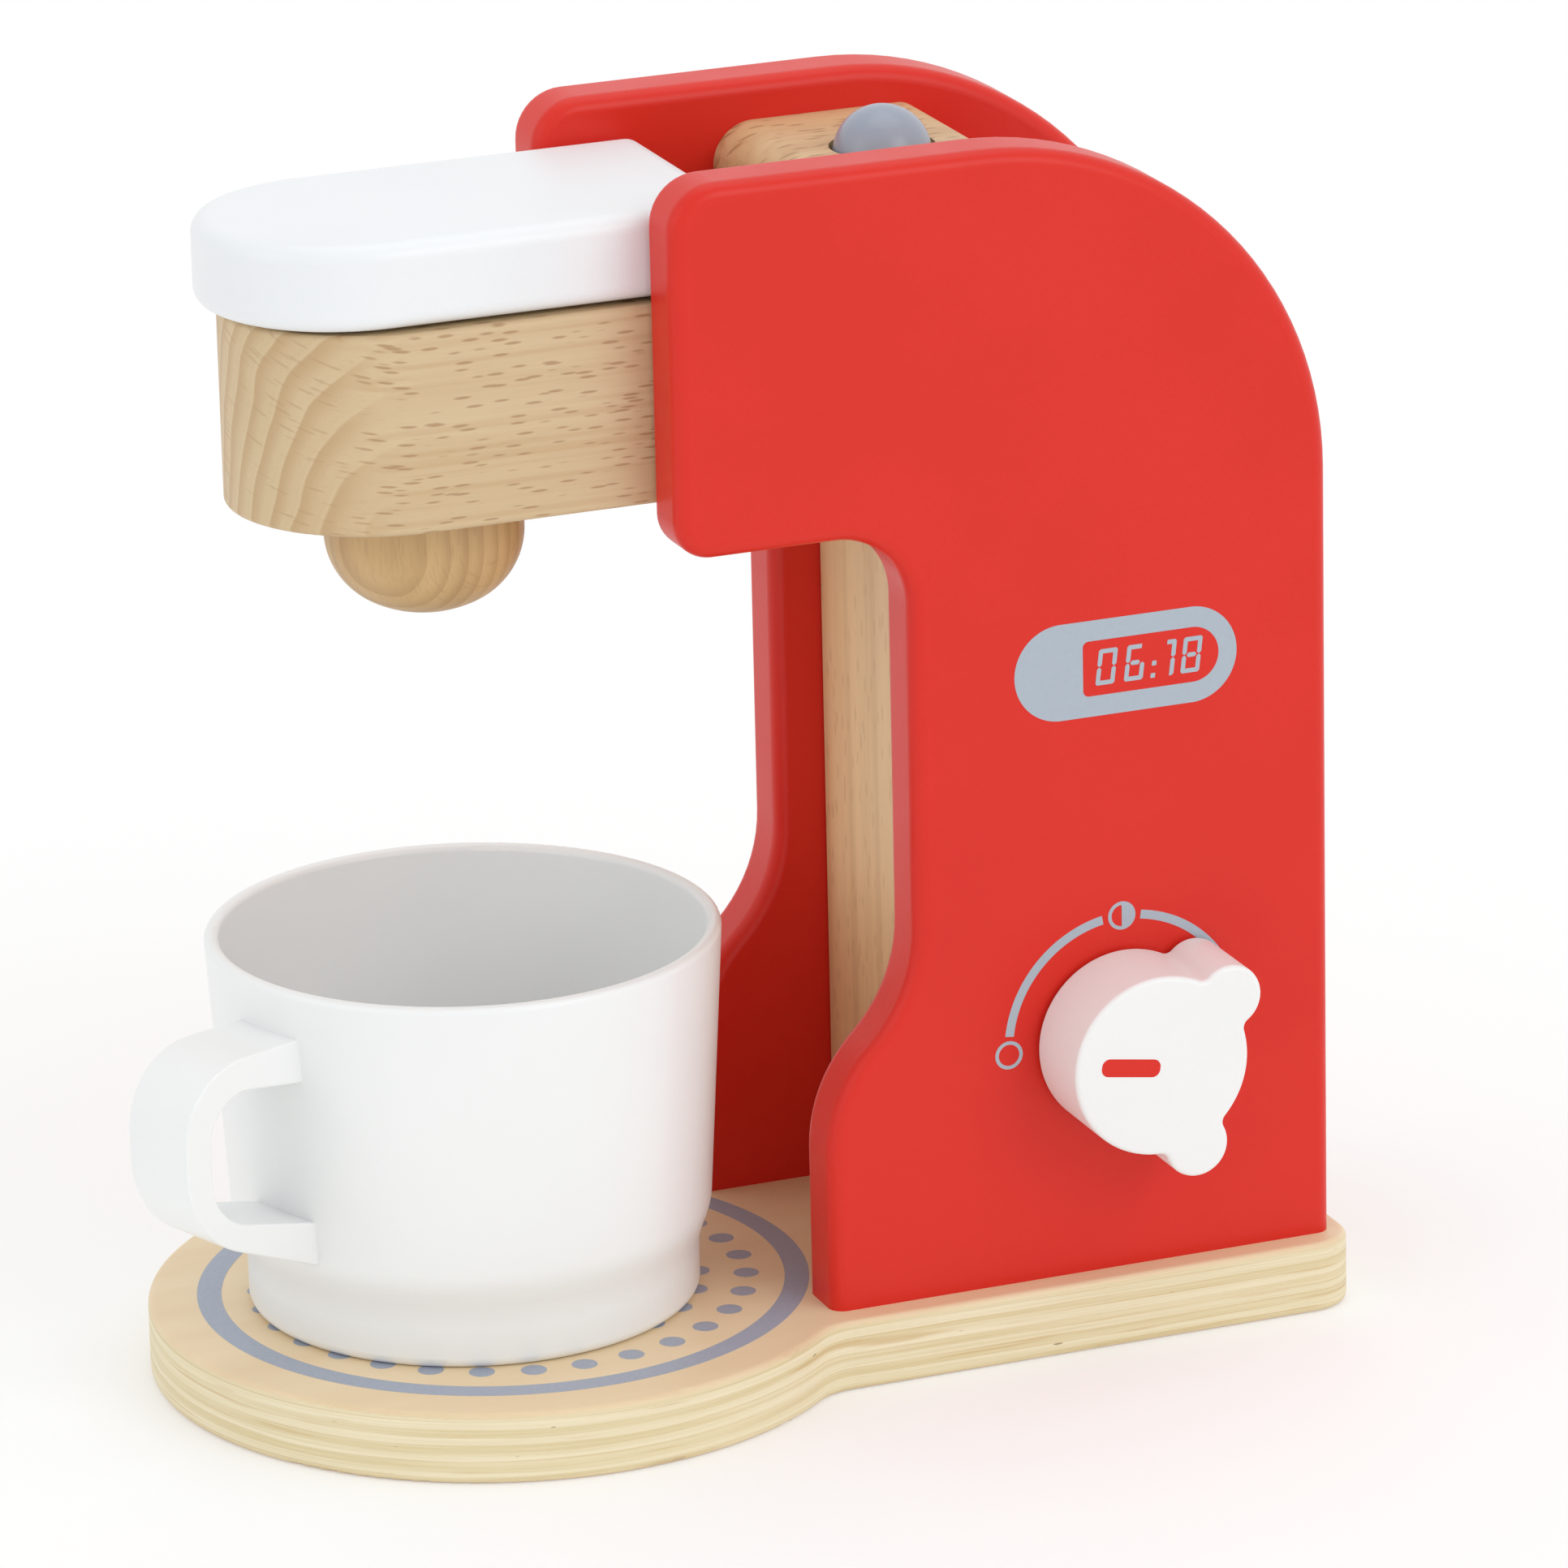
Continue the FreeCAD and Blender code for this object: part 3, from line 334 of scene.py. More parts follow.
@dataclass(frozen=True)
class Lacquer:
    """Sprayed satin paint on wood or board: nearly even, with a faint orange peel."""

    name: str
    colour: Colour
    deep: Colour
    roughness: float = 0.36
    peel: float = 800.0
    peel_depth: float = 0.02 * MM
    gloss: float = 0.5
    coat: float = 0.15
    coat_roughness: float = 0.25
    cloud: Layer = Layer(every(38.0), (0.35, 0.75), share=0.45, detail=3.0)
    grit: Layer = Layer(every(2600.0), (0.3, 0.8), share=0.25, detail=1.0)
    sheen: float = 70.0
    sheen_spread: float = 0.12

    def material(self) -> bpy.types.Material:
        """Builds the paint.

        Returns:
            The material.
        """
        recipe = Recipe(self.name)
        tone = self.cloud.cover(recipe, recipe.axes) + self.grit.cover(recipe, recipe.axes)
        colour = recipe.mix(tone, self.colour, self.deep)
        recipe.bump(recipe.noise(recipe.place, self.peel), self.peel_depth)
        least = self.roughness - self.sheen_spread / 2
        roughness = recipe.noise(recipe.place, self.sheen) * self.sheen_spread + least
        return recipe.finish(colour, roughness, Specular_IOR_Level=self.gloss, Coat_Weight=self.coat,
                             Coat_Roughness=self.coat_roughness)


@dataclass(frozen=True)
class Beech:
    """Clear-lacquered beech: growth rings round a distant pith and short dark rays along the grain."""

    name: str
    grain: Axis
    pith: tuple[float, float]
    light: Colour = paint(214, 192, 153)
    dark: Colour = paint(198, 168, 127)
    fleck: Colour = paint(160, 118, 78)
    fleck_share: float = 0.64
    line_share: float = 0.85
    ring: float = 4.0 * MM
    ring_share: float = 0.16
    ray_long: float = 5.5 * MM
    ray_deep: float = 10.0 * MM
    ray_thin: float = 0.68 * MM
    ray_edge: tuple[float, float] = (0.34, 0.17)
    end_grain: tuple[float, float] | None = None
    end_tone: Colour = paint(188, 154, 110)
    end_least: float = 0.2
    end_late: float = 0.55
    end_early: float = 0.4
    waves: Layer = Layer((10.0, 45.0, 45.0))
    wave_rings: float = 1.4
    turn_reach: float = 70.0 * MM
    late_rise: tuple[float, float] = (0.25, 0.95)
    late_drop: tuple[float, float] = (1.0, 0.93)
    early_drop: tuple[float, float] = (0.2, 0.0)
    broad: Layer = Layer((7.0, 160.0, 30.0), (0.3, 0.7), share=0.4, detail=3.0)
    fibres: Layer = Layer((110.0, 2300.0, 2300.0))
    fibre_band: tuple[float, float] = (0.45, 0.8)
    fibre_share: float = 0.3
    lines: Layer = Layer((5.0, 260.0, 620.0), (0.46, 0.70), detail=3.0)
    fibre_relief: float = 0.4
    ray_relief: float = 0.6
    relief: float = 0.02 * MM
    roughness: float = 0.42
    roughness_spread: float = 0.1
    coat: float = 0.08
    coat_roughness: float = 0.3

    def rays(self, recipe: Recipe, along: Wire, distance: Wire, turn: Wire) -> Wire:
        """Adds the short dashes that the wood's rays draw.

        Args:
            recipe: The material being built.
            along: Place along the grain.
            distance: Distance from the pith.
            turn: Way round the pith.

        Returns:
            1 on a dash and 0 beside it.
        """
        spots = recipe.vector(along / self.ray_long, distance / self.ray_deep, turn / self.ray_thin)
        cells = recipe.add("ShaderNodeTexVoronoi", {"feature": "F1"}, Vector=spots, Scale=1.0)
        return Wire(recipe.tree, cells.outputs["Distance"]).ramp(*self.ray_edge)

    def material(self) -> bpy.types.Material:
        """Builds the wood.

        Returns:
            The material.
        """
        recipe = Recipe(self.name)
        place = list(recipe.axes)
        along = place.pop(self.grain.value)
        across = self.pith[0] - place[0]
        up = place[1] - self.pith[1]
        board = (along, across, up)
        wave = (self.waves.raw(recipe, board) - 0.5) * self.ring * self.wave_rings
        distance = (across * across + up * up).root() + wave
        turn = up.math("ARCTAN2", across) * self.turn_reach
        year = (distance / self.ring).math("FRACT")
        late = year.ramp(*self.late_rise) * year.ramp(*self.late_drop)
        broad = self.broad.cover(recipe, (along, distance, turn))
        colour = recipe.mix(late * self.ring_share + broad, self.light, self.dark)
        fibres = self.fibres.raw(recipe, board)
        colour = recipe.mix(fibres.ramp(*self.fibre_band) * self.fibre_share, colour, self.dark)
        side = 1.0 - along.ramp(*self.end_grain) if self.end_grain else 1.0
        lines = self.lines.cover(recipe, board)
        colour = recipe.mix(lines * self.line_share * side, colour, self.dark)
        rays = self.rays(recipe, along, distance, turn)
        colour = recipe.mix(rays * self.fleck_share * (side * 0.5 + 0.5), colour, self.fleck)
        if self.end_grain is not None:
            ends = along.ramp(*self.end_grain)
            colour = recipe.mix(ends * (late * self.end_late + self.end_least), colour, self.end_tone)
            colour = recipe.mix(ends * year.ramp(*self.early_drop) * self.end_early, colour, self.light)
        recipe.bump(fibres * self.fibre_relief - rays * self.ray_relief, self.relief)
        return recipe.finish(colour, fibres * self.roughness_spread + self.roughness, Coat_Weight=self.coat,
                             Coat_Roughness=self.coat_roughness)


@dataclass(frozen=True)
class Plywood:
    """Birch plywood seen from the side: thin layers, pale and straw in turn, under a smooth face."""

    name: str
    plies: int
    thickness: float
    face: Colour = paint(236, 214, 178)
    face_deep: Colour = paint(226, 198, 157)
    cream: Colour = paint(240, 229, 198)
    straw: Colour = paint(220, 203, 158)
    ochre: Colour = paint(205, 172, 116)
    knot: Colour = paint(150, 116, 76)
    flow: Layer = Layer(streak(90.0 * MM, 12.0 * MM))
    flow_depth: float = 0.9 * MM
    ply_band: tuple[float, float] = (0.35, 0.65)
    ply_share: float = 0.42
    broad: Layer = Layer(streak(70.0 * MM, 1.0 * MM), (0.36, 0.66), share=0.32)
    thin: Layer = Layer(streak(40.0 * MM, 0.4 * MM), (0.38, 0.66), detail=4.0)
    thin_share: float = 0.34
    glue_above: tuple[float, float] = (0.12, 0.0)
    glue_below: tuple[float, float] = (0.92, 1.0)
    glue_share: float = 0.55
    stains: Layer = Layer(streak(30.0 * MM, 1.2 * MM), (0.60, 0.74), share=0.55)
    gaps: Layer = Layer(streak(6.5 * MM, 1.1 * MM), (0.765, 0.785), share=0.8, detail=1.0)
    cloud: Layer = Layer((70.0, 18.0, 0.0), (0.3, 0.7), share=0.6, detail=3.0)
    pores: Layer = Layer((1500.0, 200.0, 0.0), (0.6, 0.8), share=0.3)
    top_edge: tuple[float, float] = (1.0 * MM, 0.4 * MM)
    low_edge: tuple[float, float] = (0.8 * MM, 0.3 * MM)
    relief: float = 0.03 * MM
    roughness: float = 0.48
    coat: float = 0.05
    coat_roughness: float = 0.3

    def edge(self, recipe: Recipe, thin: Wire) -> bpy.types.NodeSocket:
        """Colours the layers that show round the board's edge.

        Args:
            recipe: The material being built.
            thin: The finest streaks.

        Returns:
            The colour.
        """
        flow = (self.flow.raw(recipe, recipe.axes) - 0.5) * self.flow_depth
        layer = (recipe.z + flow) * (self.plies / self.thickness)
        part = layer.math("FRACT")
        turns = (layer * math.pi).wave().ramp(*self.ply_band) * self.ply_share
        tone = turns + self.broad.cover(recipe, recipe.axes) + thin * self.thin_share
        colour = recipe.mix(tone, self.cream, self.straw)
        glue = part.ramp(*self.glue_above) + part.ramp(*self.glue_below)
        colour = recipe.mix(glue * thin * self.glue_share, colour, self.ochre)
        colour = recipe.mix(self.stains.cover(recipe, recipe.axes), colour, self.ochre)
        return recipe.mix(self.gaps.cover(recipe, recipe.axes), colour, self.knot)

    def material(self) -> bpy.types.Material:
        """Builds the plywood.

        Returns:
            The material.
        """
        recipe = Recipe(self.name)
        thin = self.thin.cover(recipe, recipe.axes)
        tone = self.cloud.cover(recipe, recipe.axes) + self.pores.cover(recipe, recipe.axes)
        face = recipe.mix(tone, self.face, self.face_deep)
        on_top = recipe.z.ramp(*(self.thickness - depth for depth in self.top_edge))
        underneath = recipe.z.ramp(*self.low_edge)
        colour = recipe.mix(on_top + underneath, self.edge(recipe, thin), face)
        recipe.bump(thin, self.relief)
        return recipe.finish(colour, self.roughness, Coat_Weight=self.coat,
                             Coat_Roughness=self.coat_roughness)


@dataclass(frozen=True)
class Moulded:
    """Smooth moulded plastic with a slight flow cloudiness and fine scuffs."""

    name: str
    colour: Colour
    deep: Colour
    roughness: float = 0.34
    roughness_spread: float = 0.1
    cloud: Layer = Layer(every(30.0), (0.3, 0.8), share=0.5)
    scuffs: Layer = Layer((900.0, 900.0, 120.0))
    grain: float = 1500.0
    relief: float = 0.004 * MM

    def material(self) -> bpy.types.Material:
        """Builds the plastic.

        Returns:
            The material.
        """
        recipe = Recipe(self.name)
        colour = recipe.mix(self.cloud.cover(recipe, recipe.axes), self.colour, self.deep)
        recipe.bump(recipe.noise(recipe.place, self.grain, 1.0), self.relief)
        least = self.roughness - self.roughness_spread / 2
        scuffs = self.scuffs.raw(recipe, recipe.axes)
        return recipe.finish(colour, scuffs * self.roughness_spread + least)


@dataclass(frozen=True)
class Ink:
    """Screen-printed ink, very thin, slightly uneven in cover."""

    name: str
    colour: Colour
    thin: Colour
    cover: Layer = Layer(every(1400.0), (0.35, 0.8))
    thin_share: float = 0.4
    roughness: float = 0.42
    roughness_spread: float = 0.08

    def material(self) -> bpy.types.Material:
        """Builds the ink.

        Returns:
            The material.
        """
        recipe = Recipe(self.name)
        cover = self.cover.cover(recipe, recipe.axes)
        colour = recipe.mix(cover * self.thin_share, self.colour, self.thin)
        return recipe.finish(colour, cover * self.roughness_spread + self.roughness)


@dataclass(frozen=True)
class PlatedSteel:
    """Zinc-plated steel with fine turning marks."""

    name: str
    colour: Colour = paint(186, 188, 190)
    worn: Colour = paint(150, 152, 154)
    marks: float = 3200.0
    worn_share: float = 0.5
    relief: float = 0.01 * MM
    roughness: float = 0.25
    roughness_spread: float = 0.2

    def material(self) -> bpy.types.Material:
        """Builds the metal.

        Returns:
            The material.
        """
        recipe = Recipe(self.name)
        marks = recipe.noise(recipe.place, self.marks)
        colour = recipe.mix(marks * self.worn_share, self.colour, self.worn)
        recipe.bump(marks, self.relief)
        return recipe.finish(colour, marks * self.roughness_spread + self.roughness, Metallic=1.0)


class Bench:
    """The modelling bench: operators on one fresh mesh at a time, with nothing else selected."""

    @staticmethod
    def clear() -> None:
        """Leaves edit mode and deselects everything."""
        if bpy.context.object and bpy.context.object.mode != "OBJECT":
            bpy.ops.object.mode_set(mode="OBJECT")
        bpy.ops.object.select_all(action="DESELECT")

    @classmethod
    def take(cls, pieces: Sequence[bpy.types.Object]) -> None:
        """Selects some objects, the first one active.

        Args:
            pieces: The objects.
        """
        cls.clear()
        for piece in pieces:
            piece.select_set(True)
        bpy.context.view_layer.objects.active = pieces[0]

    @classmethod
    def disc(cls, radius: float, corners: int) -> bpy.types.Object:
        """Adds a flat filled disc at the origin.

        Args:
            radius: Its radius.
            corners: Corners all round.

        Returns:
            The disc.
        """
        cls.clear()
        bpy.ops.mesh.primitive_circle_add(vertices=corners, radius=radius, fill_type="NGON")
        return bpy.context.object

    @classmethod
    def pick(cls, piece: bpy.types.Object, test: Callable[[Vector], bool]) -> None:
        """Enters edit mode with the vertices chosen whose place passes a test.

        Args:
            piece: The object.
            test: Says whether a vertex at a place is chosen.
        """
        cls.take([piece])
        bpy.ops.object.mode_set(mode="EDIT")
        bpy.ops.mesh.select_mode(type="VERT")
        bpy.ops.mesh.select_all(action="DESELECT")
        bpy.ops.object.mode_set(mode="OBJECT")
        for vertex in piece.data.vertices:
            vertex.select = test(vertex.co)
        bpy.ops.object.mode_set(mode="EDIT")

    @classmethod
    def stretch(cls, piece: bpy.types.Object, way: tuple[float, float, float],
                test: Callable[[Vector], bool]) -> bpy.types.Object:
        """Moves the chosen vertices, so that a disc becomes a slot shape.

        Args:
            piece: The object.
            way: How far they move.
            test: Says whether a vertex at a place moves.

        Returns:
            The same object.
        """
        cls.pick(piece, test)
        bpy.ops.transform.translate(value=way)
        cls.clear()
        return piece

    @classmethod
    def ring(cls, outer: float, inner: float, steps: int,
             keep: Callable[[float], bool] | None = None) -> bpy.types.Object:
        """Adds a flat ring, or the stretches of it whose middle angle passes a test.

        Args:
            outer: Outer radius.
            inner: Inner radius.
            steps: Corners all round.
            keep: Says whether the stretch at an angle in degrees stays.

        Returns:
            The ring at the origin.
        """
        cls.clear()
        bpy.ops.mesh.primitive_circle_add(vertices=steps, radius=outer, fill_type="NOTHING")
        piece = bpy.context.object
        bpy.ops.object.mode_set(mode="EDIT")
        bpy.ops.mesh.select_mode(type="VERT")
        bpy.ops.mesh.select_all(action="SELECT")
        bpy.ops.mesh.extrude_region()
        bpy.ops.transform.resize(value=(inner / outer, inner / outer, 1.0))
        bpy.ops.object.mode_set(mode="OBJECT")
        if keep is not None:
            bpy.ops.object.mode_set(mode="EDIT")
            bpy.ops.mesh.select_mode(type="FACE")
            bpy.ops.mesh.select_all(action="DESELECT")
            bpy.ops.object.mode_set(mode="OBJECT")
            for face in piece.data.polygons:
                angle = math.degrees(math.atan2(face.center.y, face.center.x)) % 360
                face.select = not keep(angle)
            bpy.ops.object.mode_set(mode="EDIT")
            bpy.ops.mesh.delete(type="FACE")
        cls.clear()
        return piece

    @classmethod
    def box_outline(cls, width: float, height: float) -> bpy.types.Object:
        """Adds a flat rectangle at the origin.

        Args:
            width: Its size along X.
            height: Its size along Y.

        Returns:
            The rectangle.
        """
        cls.clear()
        bpy.ops.mesh.primitive_plane_add(size=1.0)
        piece = bpy.context.object
        piece.data.transform(Matrix.Diagonal((width, height, 1.0, 1.0)))
        return piece

    @classmethod
    def round_corners(cls, piece: bpy.types.Object, radius: float, segments: int,
                      test: Callable[[Vector], bool]) -> bpy.types.Object:
        """Rounds the chosen corners of a flat piece.

        Args:
            piece: The flat piece.
            radius: The corners' radius.
            segments: Steps in each corner; 1 cuts it straight.
            test: Says whether the corner at a place is rounded.

        Returns:
            The same piece.
        """
        cls.pick(piece, test)
        bpy.ops.mesh.bevel(offset=radius, segments=segments, affect="VERTICES", profile=0.5)
        cls.clear()
        return piece

    @classmethod
    def copy(cls, piece: bpy.types.Object, matrix: Matrix) -> bpy.types.Object:
        """Copies a piece with its own mesh and moves the mesh.

        Args:
            piece: The piece.
            matrix: The move.

        Returns:
            The copy.
        """
        cls.take([piece])
        bpy.ops.object.duplicate()
        twin = bpy.context.object
        twin.data.transform(matrix)
        return twin

    @classmethod
    def join(cls, pieces: Sequence[bpy.types.Object], name: str) -> bpy.types.Object:
        """Joins pieces into one named object.

        Args:
            pieces: The pieces.
            name: The new name.

        Returns:
            The joined object.
        """
        cls.take(pieces)
        if len(pieces) > 1:
            bpy.ops.object.join()
        whole = bpy.context.object
        whole.name = name
        return whole

    @classmethod
    def thicken(cls, piece: bpy.types.Object, height: float) -> bpy.types.Object:
        """Extrudes a flat piece upwards into a thin closed plate.

        Args:
            piece: The flat piece.
            height: The plate's thickness.

        Returns:
            The same piece.
        """
        cls.take([piece])
        bpy.ops.object.mode_set(mode="EDIT")
        bpy.ops.mesh.select_all(action="SELECT")
        bpy.ops.mesh.extrude_region_move(TRANSFORM_OT_translate={"value": (0.0, 0.0, height)})
        bpy.ops.mesh.select_all(action="SELECT")
        bpy.ops.mesh.normals_make_consistent(inside=False)
        cls.clear()
        return piece

    @staticmethod
    def dress(piece: bpy.types.Object, material: bpy.types.Material) -> None:
        """Gives a piece one material."""
        piece.data.materials.clear()
        piece.data.materials.append(material)


def on_base(height: float) -> Matrix:
    """Returns the placement of a flat print that lies face up at a height."""
    return Matrix.Translation((0.0, 0.0, height))


def on_side(face: float, along: float, height: float, turn: float = 0.0) -> Matrix:
    """Returns the placement of a flat print on a face towards +X.

    Args:
        face: The face's X.
        along: Y of the print's own origin.
        height: Z of the print's own origin.
        turn: Degrees that the print is turned about the face's normal.

    Returns:
        The matrix that takes the print's X to Y and its Y to Z.
    """
    lie = Matrix(((0, 0, 1, face), (1, 0, 0, along), (0, 1, 0, height), (0, 0, 0, 1)))
    return lie @ Matrix.Rotation(math.radians(turn), 4, "Z")


@dataclass
class BasePrint:
    """Ring and dots printed on the base, where the cup stands."""

    top: float
    ring_outer: float = 50 * MM
    ring_inner: float = 46 * MM
    dot_radius: float = 2.1 * MM
    dot_pitch: float = 7.95 * MM
    dot_rows: int = 5
    turned: float = -1.0
    ink_height: float = 0.03 * MM
    ring_corners: int = 192
    dot_corners: int = 28

    def build(self, ink: bpy.types.Material) -> bpy.types.Object:
        """Models the print and lets it ride on the frame.

        Args:
            ink: The ink's finish.

        Returns:
            The print.
        """
        ring = Bench.ring(self.ring_outer, self.ring_inner, self.ring_corners)
        dot = Bench.disc(self.dot_radius, self.dot_corners)
        dots = [dot]
        for row in range(1, self.dot_rows + 1):
            for step in range(6 * row):
                angle = math.tau * step / (6 * row) + math.radians(self.turned)
                reach = self.dot_pitch * row
                move = Matrix.Translation((reach * math.cos(angle), reach * math.sin(angle), 0.0))
                dots.append(Bench.copy(dot, move))
        whole = Bench.join([ring, *dots], "base_print")
        Bench.thicken(whole, self.ink_height)
        whole.data.transform(on_base(self.top))
        Bench.dress(whole, ink)
        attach(whole, "frame")
        return whole


@dataclass
class SegmentDigits:
    """Slanted seven-segment numerals of a clock display, as flat bars with pointed ends."""

    width: float = 3.3 * MM
    height: float = 6.0 * MM
    stroke: float = 0.75 * MM
    gap: float = 0.07 * MM
    chamfer: float = 0.3 * MM
    slant: float = 7.2
    spot: float = 0.78 * MM
    spot_heights: tuple[float, float] = (0.0, 2.05 * MM)
    flag: float = 1.65 * MM

    def plate(self, low: tuple[float, float], high: tuple[float, float],
              cut: Callable[[float, float], bool]) -> bpy.types.Object:
        """Models one bar as a flat rectangle with some corners cut off.

        Args:
            low: Its lower left corner.
            high: Its upper right corner.
            cut: Says from the signs of a corner's place in the bar whether it is cut.

        Returns:
            The bar.
        """
        piece = Bench.box_outline(high[0] - low[0], high[1] - low[1])
        Bench.round_corners(piece, self.chamfer, 1, lambda place: cut(place.x, place.y))
        piece.data.transform(Matrix.Translation(((low[0] + high[0]) / 2, (low[1] + high[1]) / 2, 0.0)))
        return piece

    def upright(self, at_right: bool, at_top: bool) -> bpy.types.Object:
        """Models an upright bar: cut at the numeral's middle and at its outer corner.

        Args:
            at_right: True for the right side.
            at_top: True for the upper half.

        Returns:
            The bar.
        """
        left = self.width - self.stroke if at_right else 0.0
        low = self.height / 2 + self.gap if at_top else 0.0
        high = self.height if at_top else self.height / 2 - self.gap
        return self.plate((left, low), (left + self.stroke, high),
                          lambda across, up: (up > 0) != at_top or (across > 0) == at_right)

    def level(self, low: float, left: float, pointed: bool) -> bpy.types.Object:
        """Models a level bar that ends at the right upright.

        Args:
            low: Height of its lower edge.
            left: Its left end.
            pointed: True cuts all its corners.

        Returns:
            The bar.
        """
        right = self.width - self.stroke - (self.gap if pointed else 0.0)
        return self.plate((left, low), (right, low + self.stroke), lambda across, up: pointed)

    def bars(self, numeral: str) -> list[bpy.types.Object]:
        """Models the lit bars of a numeral.

        Args:
            numeral: One of 0, 1, 6 and 8.

        Returns:
            The bars.
        """
        pieces = []
        for at_right in (False, True):
            for at_top in (False, True):
                dark_left = numeral == "1" and not at_right
                dark_corner = numeral == "6" and at_right and at_top
                if not dark_left and not dark_corner:
                    pieces.append(self.upright(at_right, at_top))
        top = self.height - self.stroke
        if numeral == "1":
            return pieces + [self.level(top, self.width - self.flag, False)]
        pieces += [self.level(0.0, self.stroke, False), self.level(top, self.stroke, False)]
        if numeral != "0":
            pieces.append(self.level(top / 2, self.stroke + self.gap, True))
        return pieces

    def draw(self, numeral: str, left: float) -> list[bpy.types.Object]:
        """Models a numeral or a colon whose lower left corner is at a place along the line.

        Args:
            numeral: One of 0, 1, 6, 8 or a colon.
            left: Distance from the print's origin.

        Returns:
            The flat pieces, slanted.
        """
        if numeral == ":":
            pieces = []
            for height in self.spot_heights:
                spot = Bench.box_outline(self.spot, self.spot)
                spot.data.transform(Matrix.Translation((self.spot / 2, height + self.spot / 2, 0.0)))
                pieces.append(spot)
        else:
            pieces = self.bars(numeral)
        slope = math.tan(math.radians(self.slant))
        lean = Matrix(((1, slope, 0, left), (0, 1, 0, 0), (0, 0, 1, 0), (0, 0, 0, 1)))
        for piece in pieces:
            piece.data.transform(lean)
        return pieces


@dataclass
class DisplayPrint:
    """Printed clock display on the knob's panel: a grey slot shape, a red window and numerals."""

    face: float
    middle: float = 96.45 * MM
    height: float = 114.9 * MM
    length: float = 38.8 * MM
    tall: float = 16.1 * MM
    window_left: float = -7.5 * MM
    window_right: float = 16.2 * MM
    window_tall: float = 9.2 * MM
    window_corner: float = 1.0 * MM
    digits_low: float = -2.95 * MM
    ink_height: float = 0.03 * MM
    slot_corners: int = 96
    small_corner_steps: int = 8
    round_end_steps: int = 24
    slack: float = 0.02 * MM
    places: tuple[tuple[str, float], ...] = (
        ("0", -5.42 * MM), ("6", -0.46 * MM), (":", 4.2 * MM), ("1", 4.9 * MM), ("8", 9.43 * MM),
    )

    def build(self, ink: bpy.types.Material, paint_over: bpy.types.Material) -> list[bpy.types.Object]:
        """Models the three layers and lets them ride on the frame.

        Args:
            ink: The grey ink.
            paint_over: The panel's own colour, for the window.

        Returns:
            The three pieces.
        """
        radius = self.tall / 2
        straight = self.length - self.tall
        slot = Bench.disc(radius, self.slot_corners)
        Bench.stretch(slot, (straight, 0.0, 0.0), lambda place: place.x > HAIR)
        slot.data.transform(Matrix.Translation((-straight / 2, 0.0, 0.0)))
        window = Bench.box_outline(self.window_right - self.window_left, self.window_tall)
        Bench.round_corners(window, self.window_corner, self.small_corner_steps, lambda place: place.x < 0)
        end_radius = self.window_tall / 2 - self.slack
        Bench.round_corners(window, end_radius, self.round_end_steps, lambda place: place.x > radius)
        window.data.transform(Matrix.Translation(((self.window_left + self.window_right) / 2, 0.0, 0.0)))
        clock = SegmentDigits()
        bars: list[bpy.types.Object] = []
        for numeral, left in self.places:
            bars += clock.draw(numeral, left)
        digits = Bench.join(bars, "display_digits")
        digits.data.transform(Matrix.Translation((0.0, self.digits_low, 0.0)))
        slot.name = "display_frame"
        window.name = "display_window"
        layers = ((slot, ink, "grey_button"), (window, paint_over, "red_paint"), (digits, ink, "grey_button"))
        for number, (piece, material, slot_name) in enumerate(layers, start=1):
            Bench.thicken(piece, self.ink_height * number)
            piece.data.transform(on_side(self.face, self.middle, self.height))
            Bench.dress(piece, material)
            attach(piece, "frame")
        return [slot, window, digits]


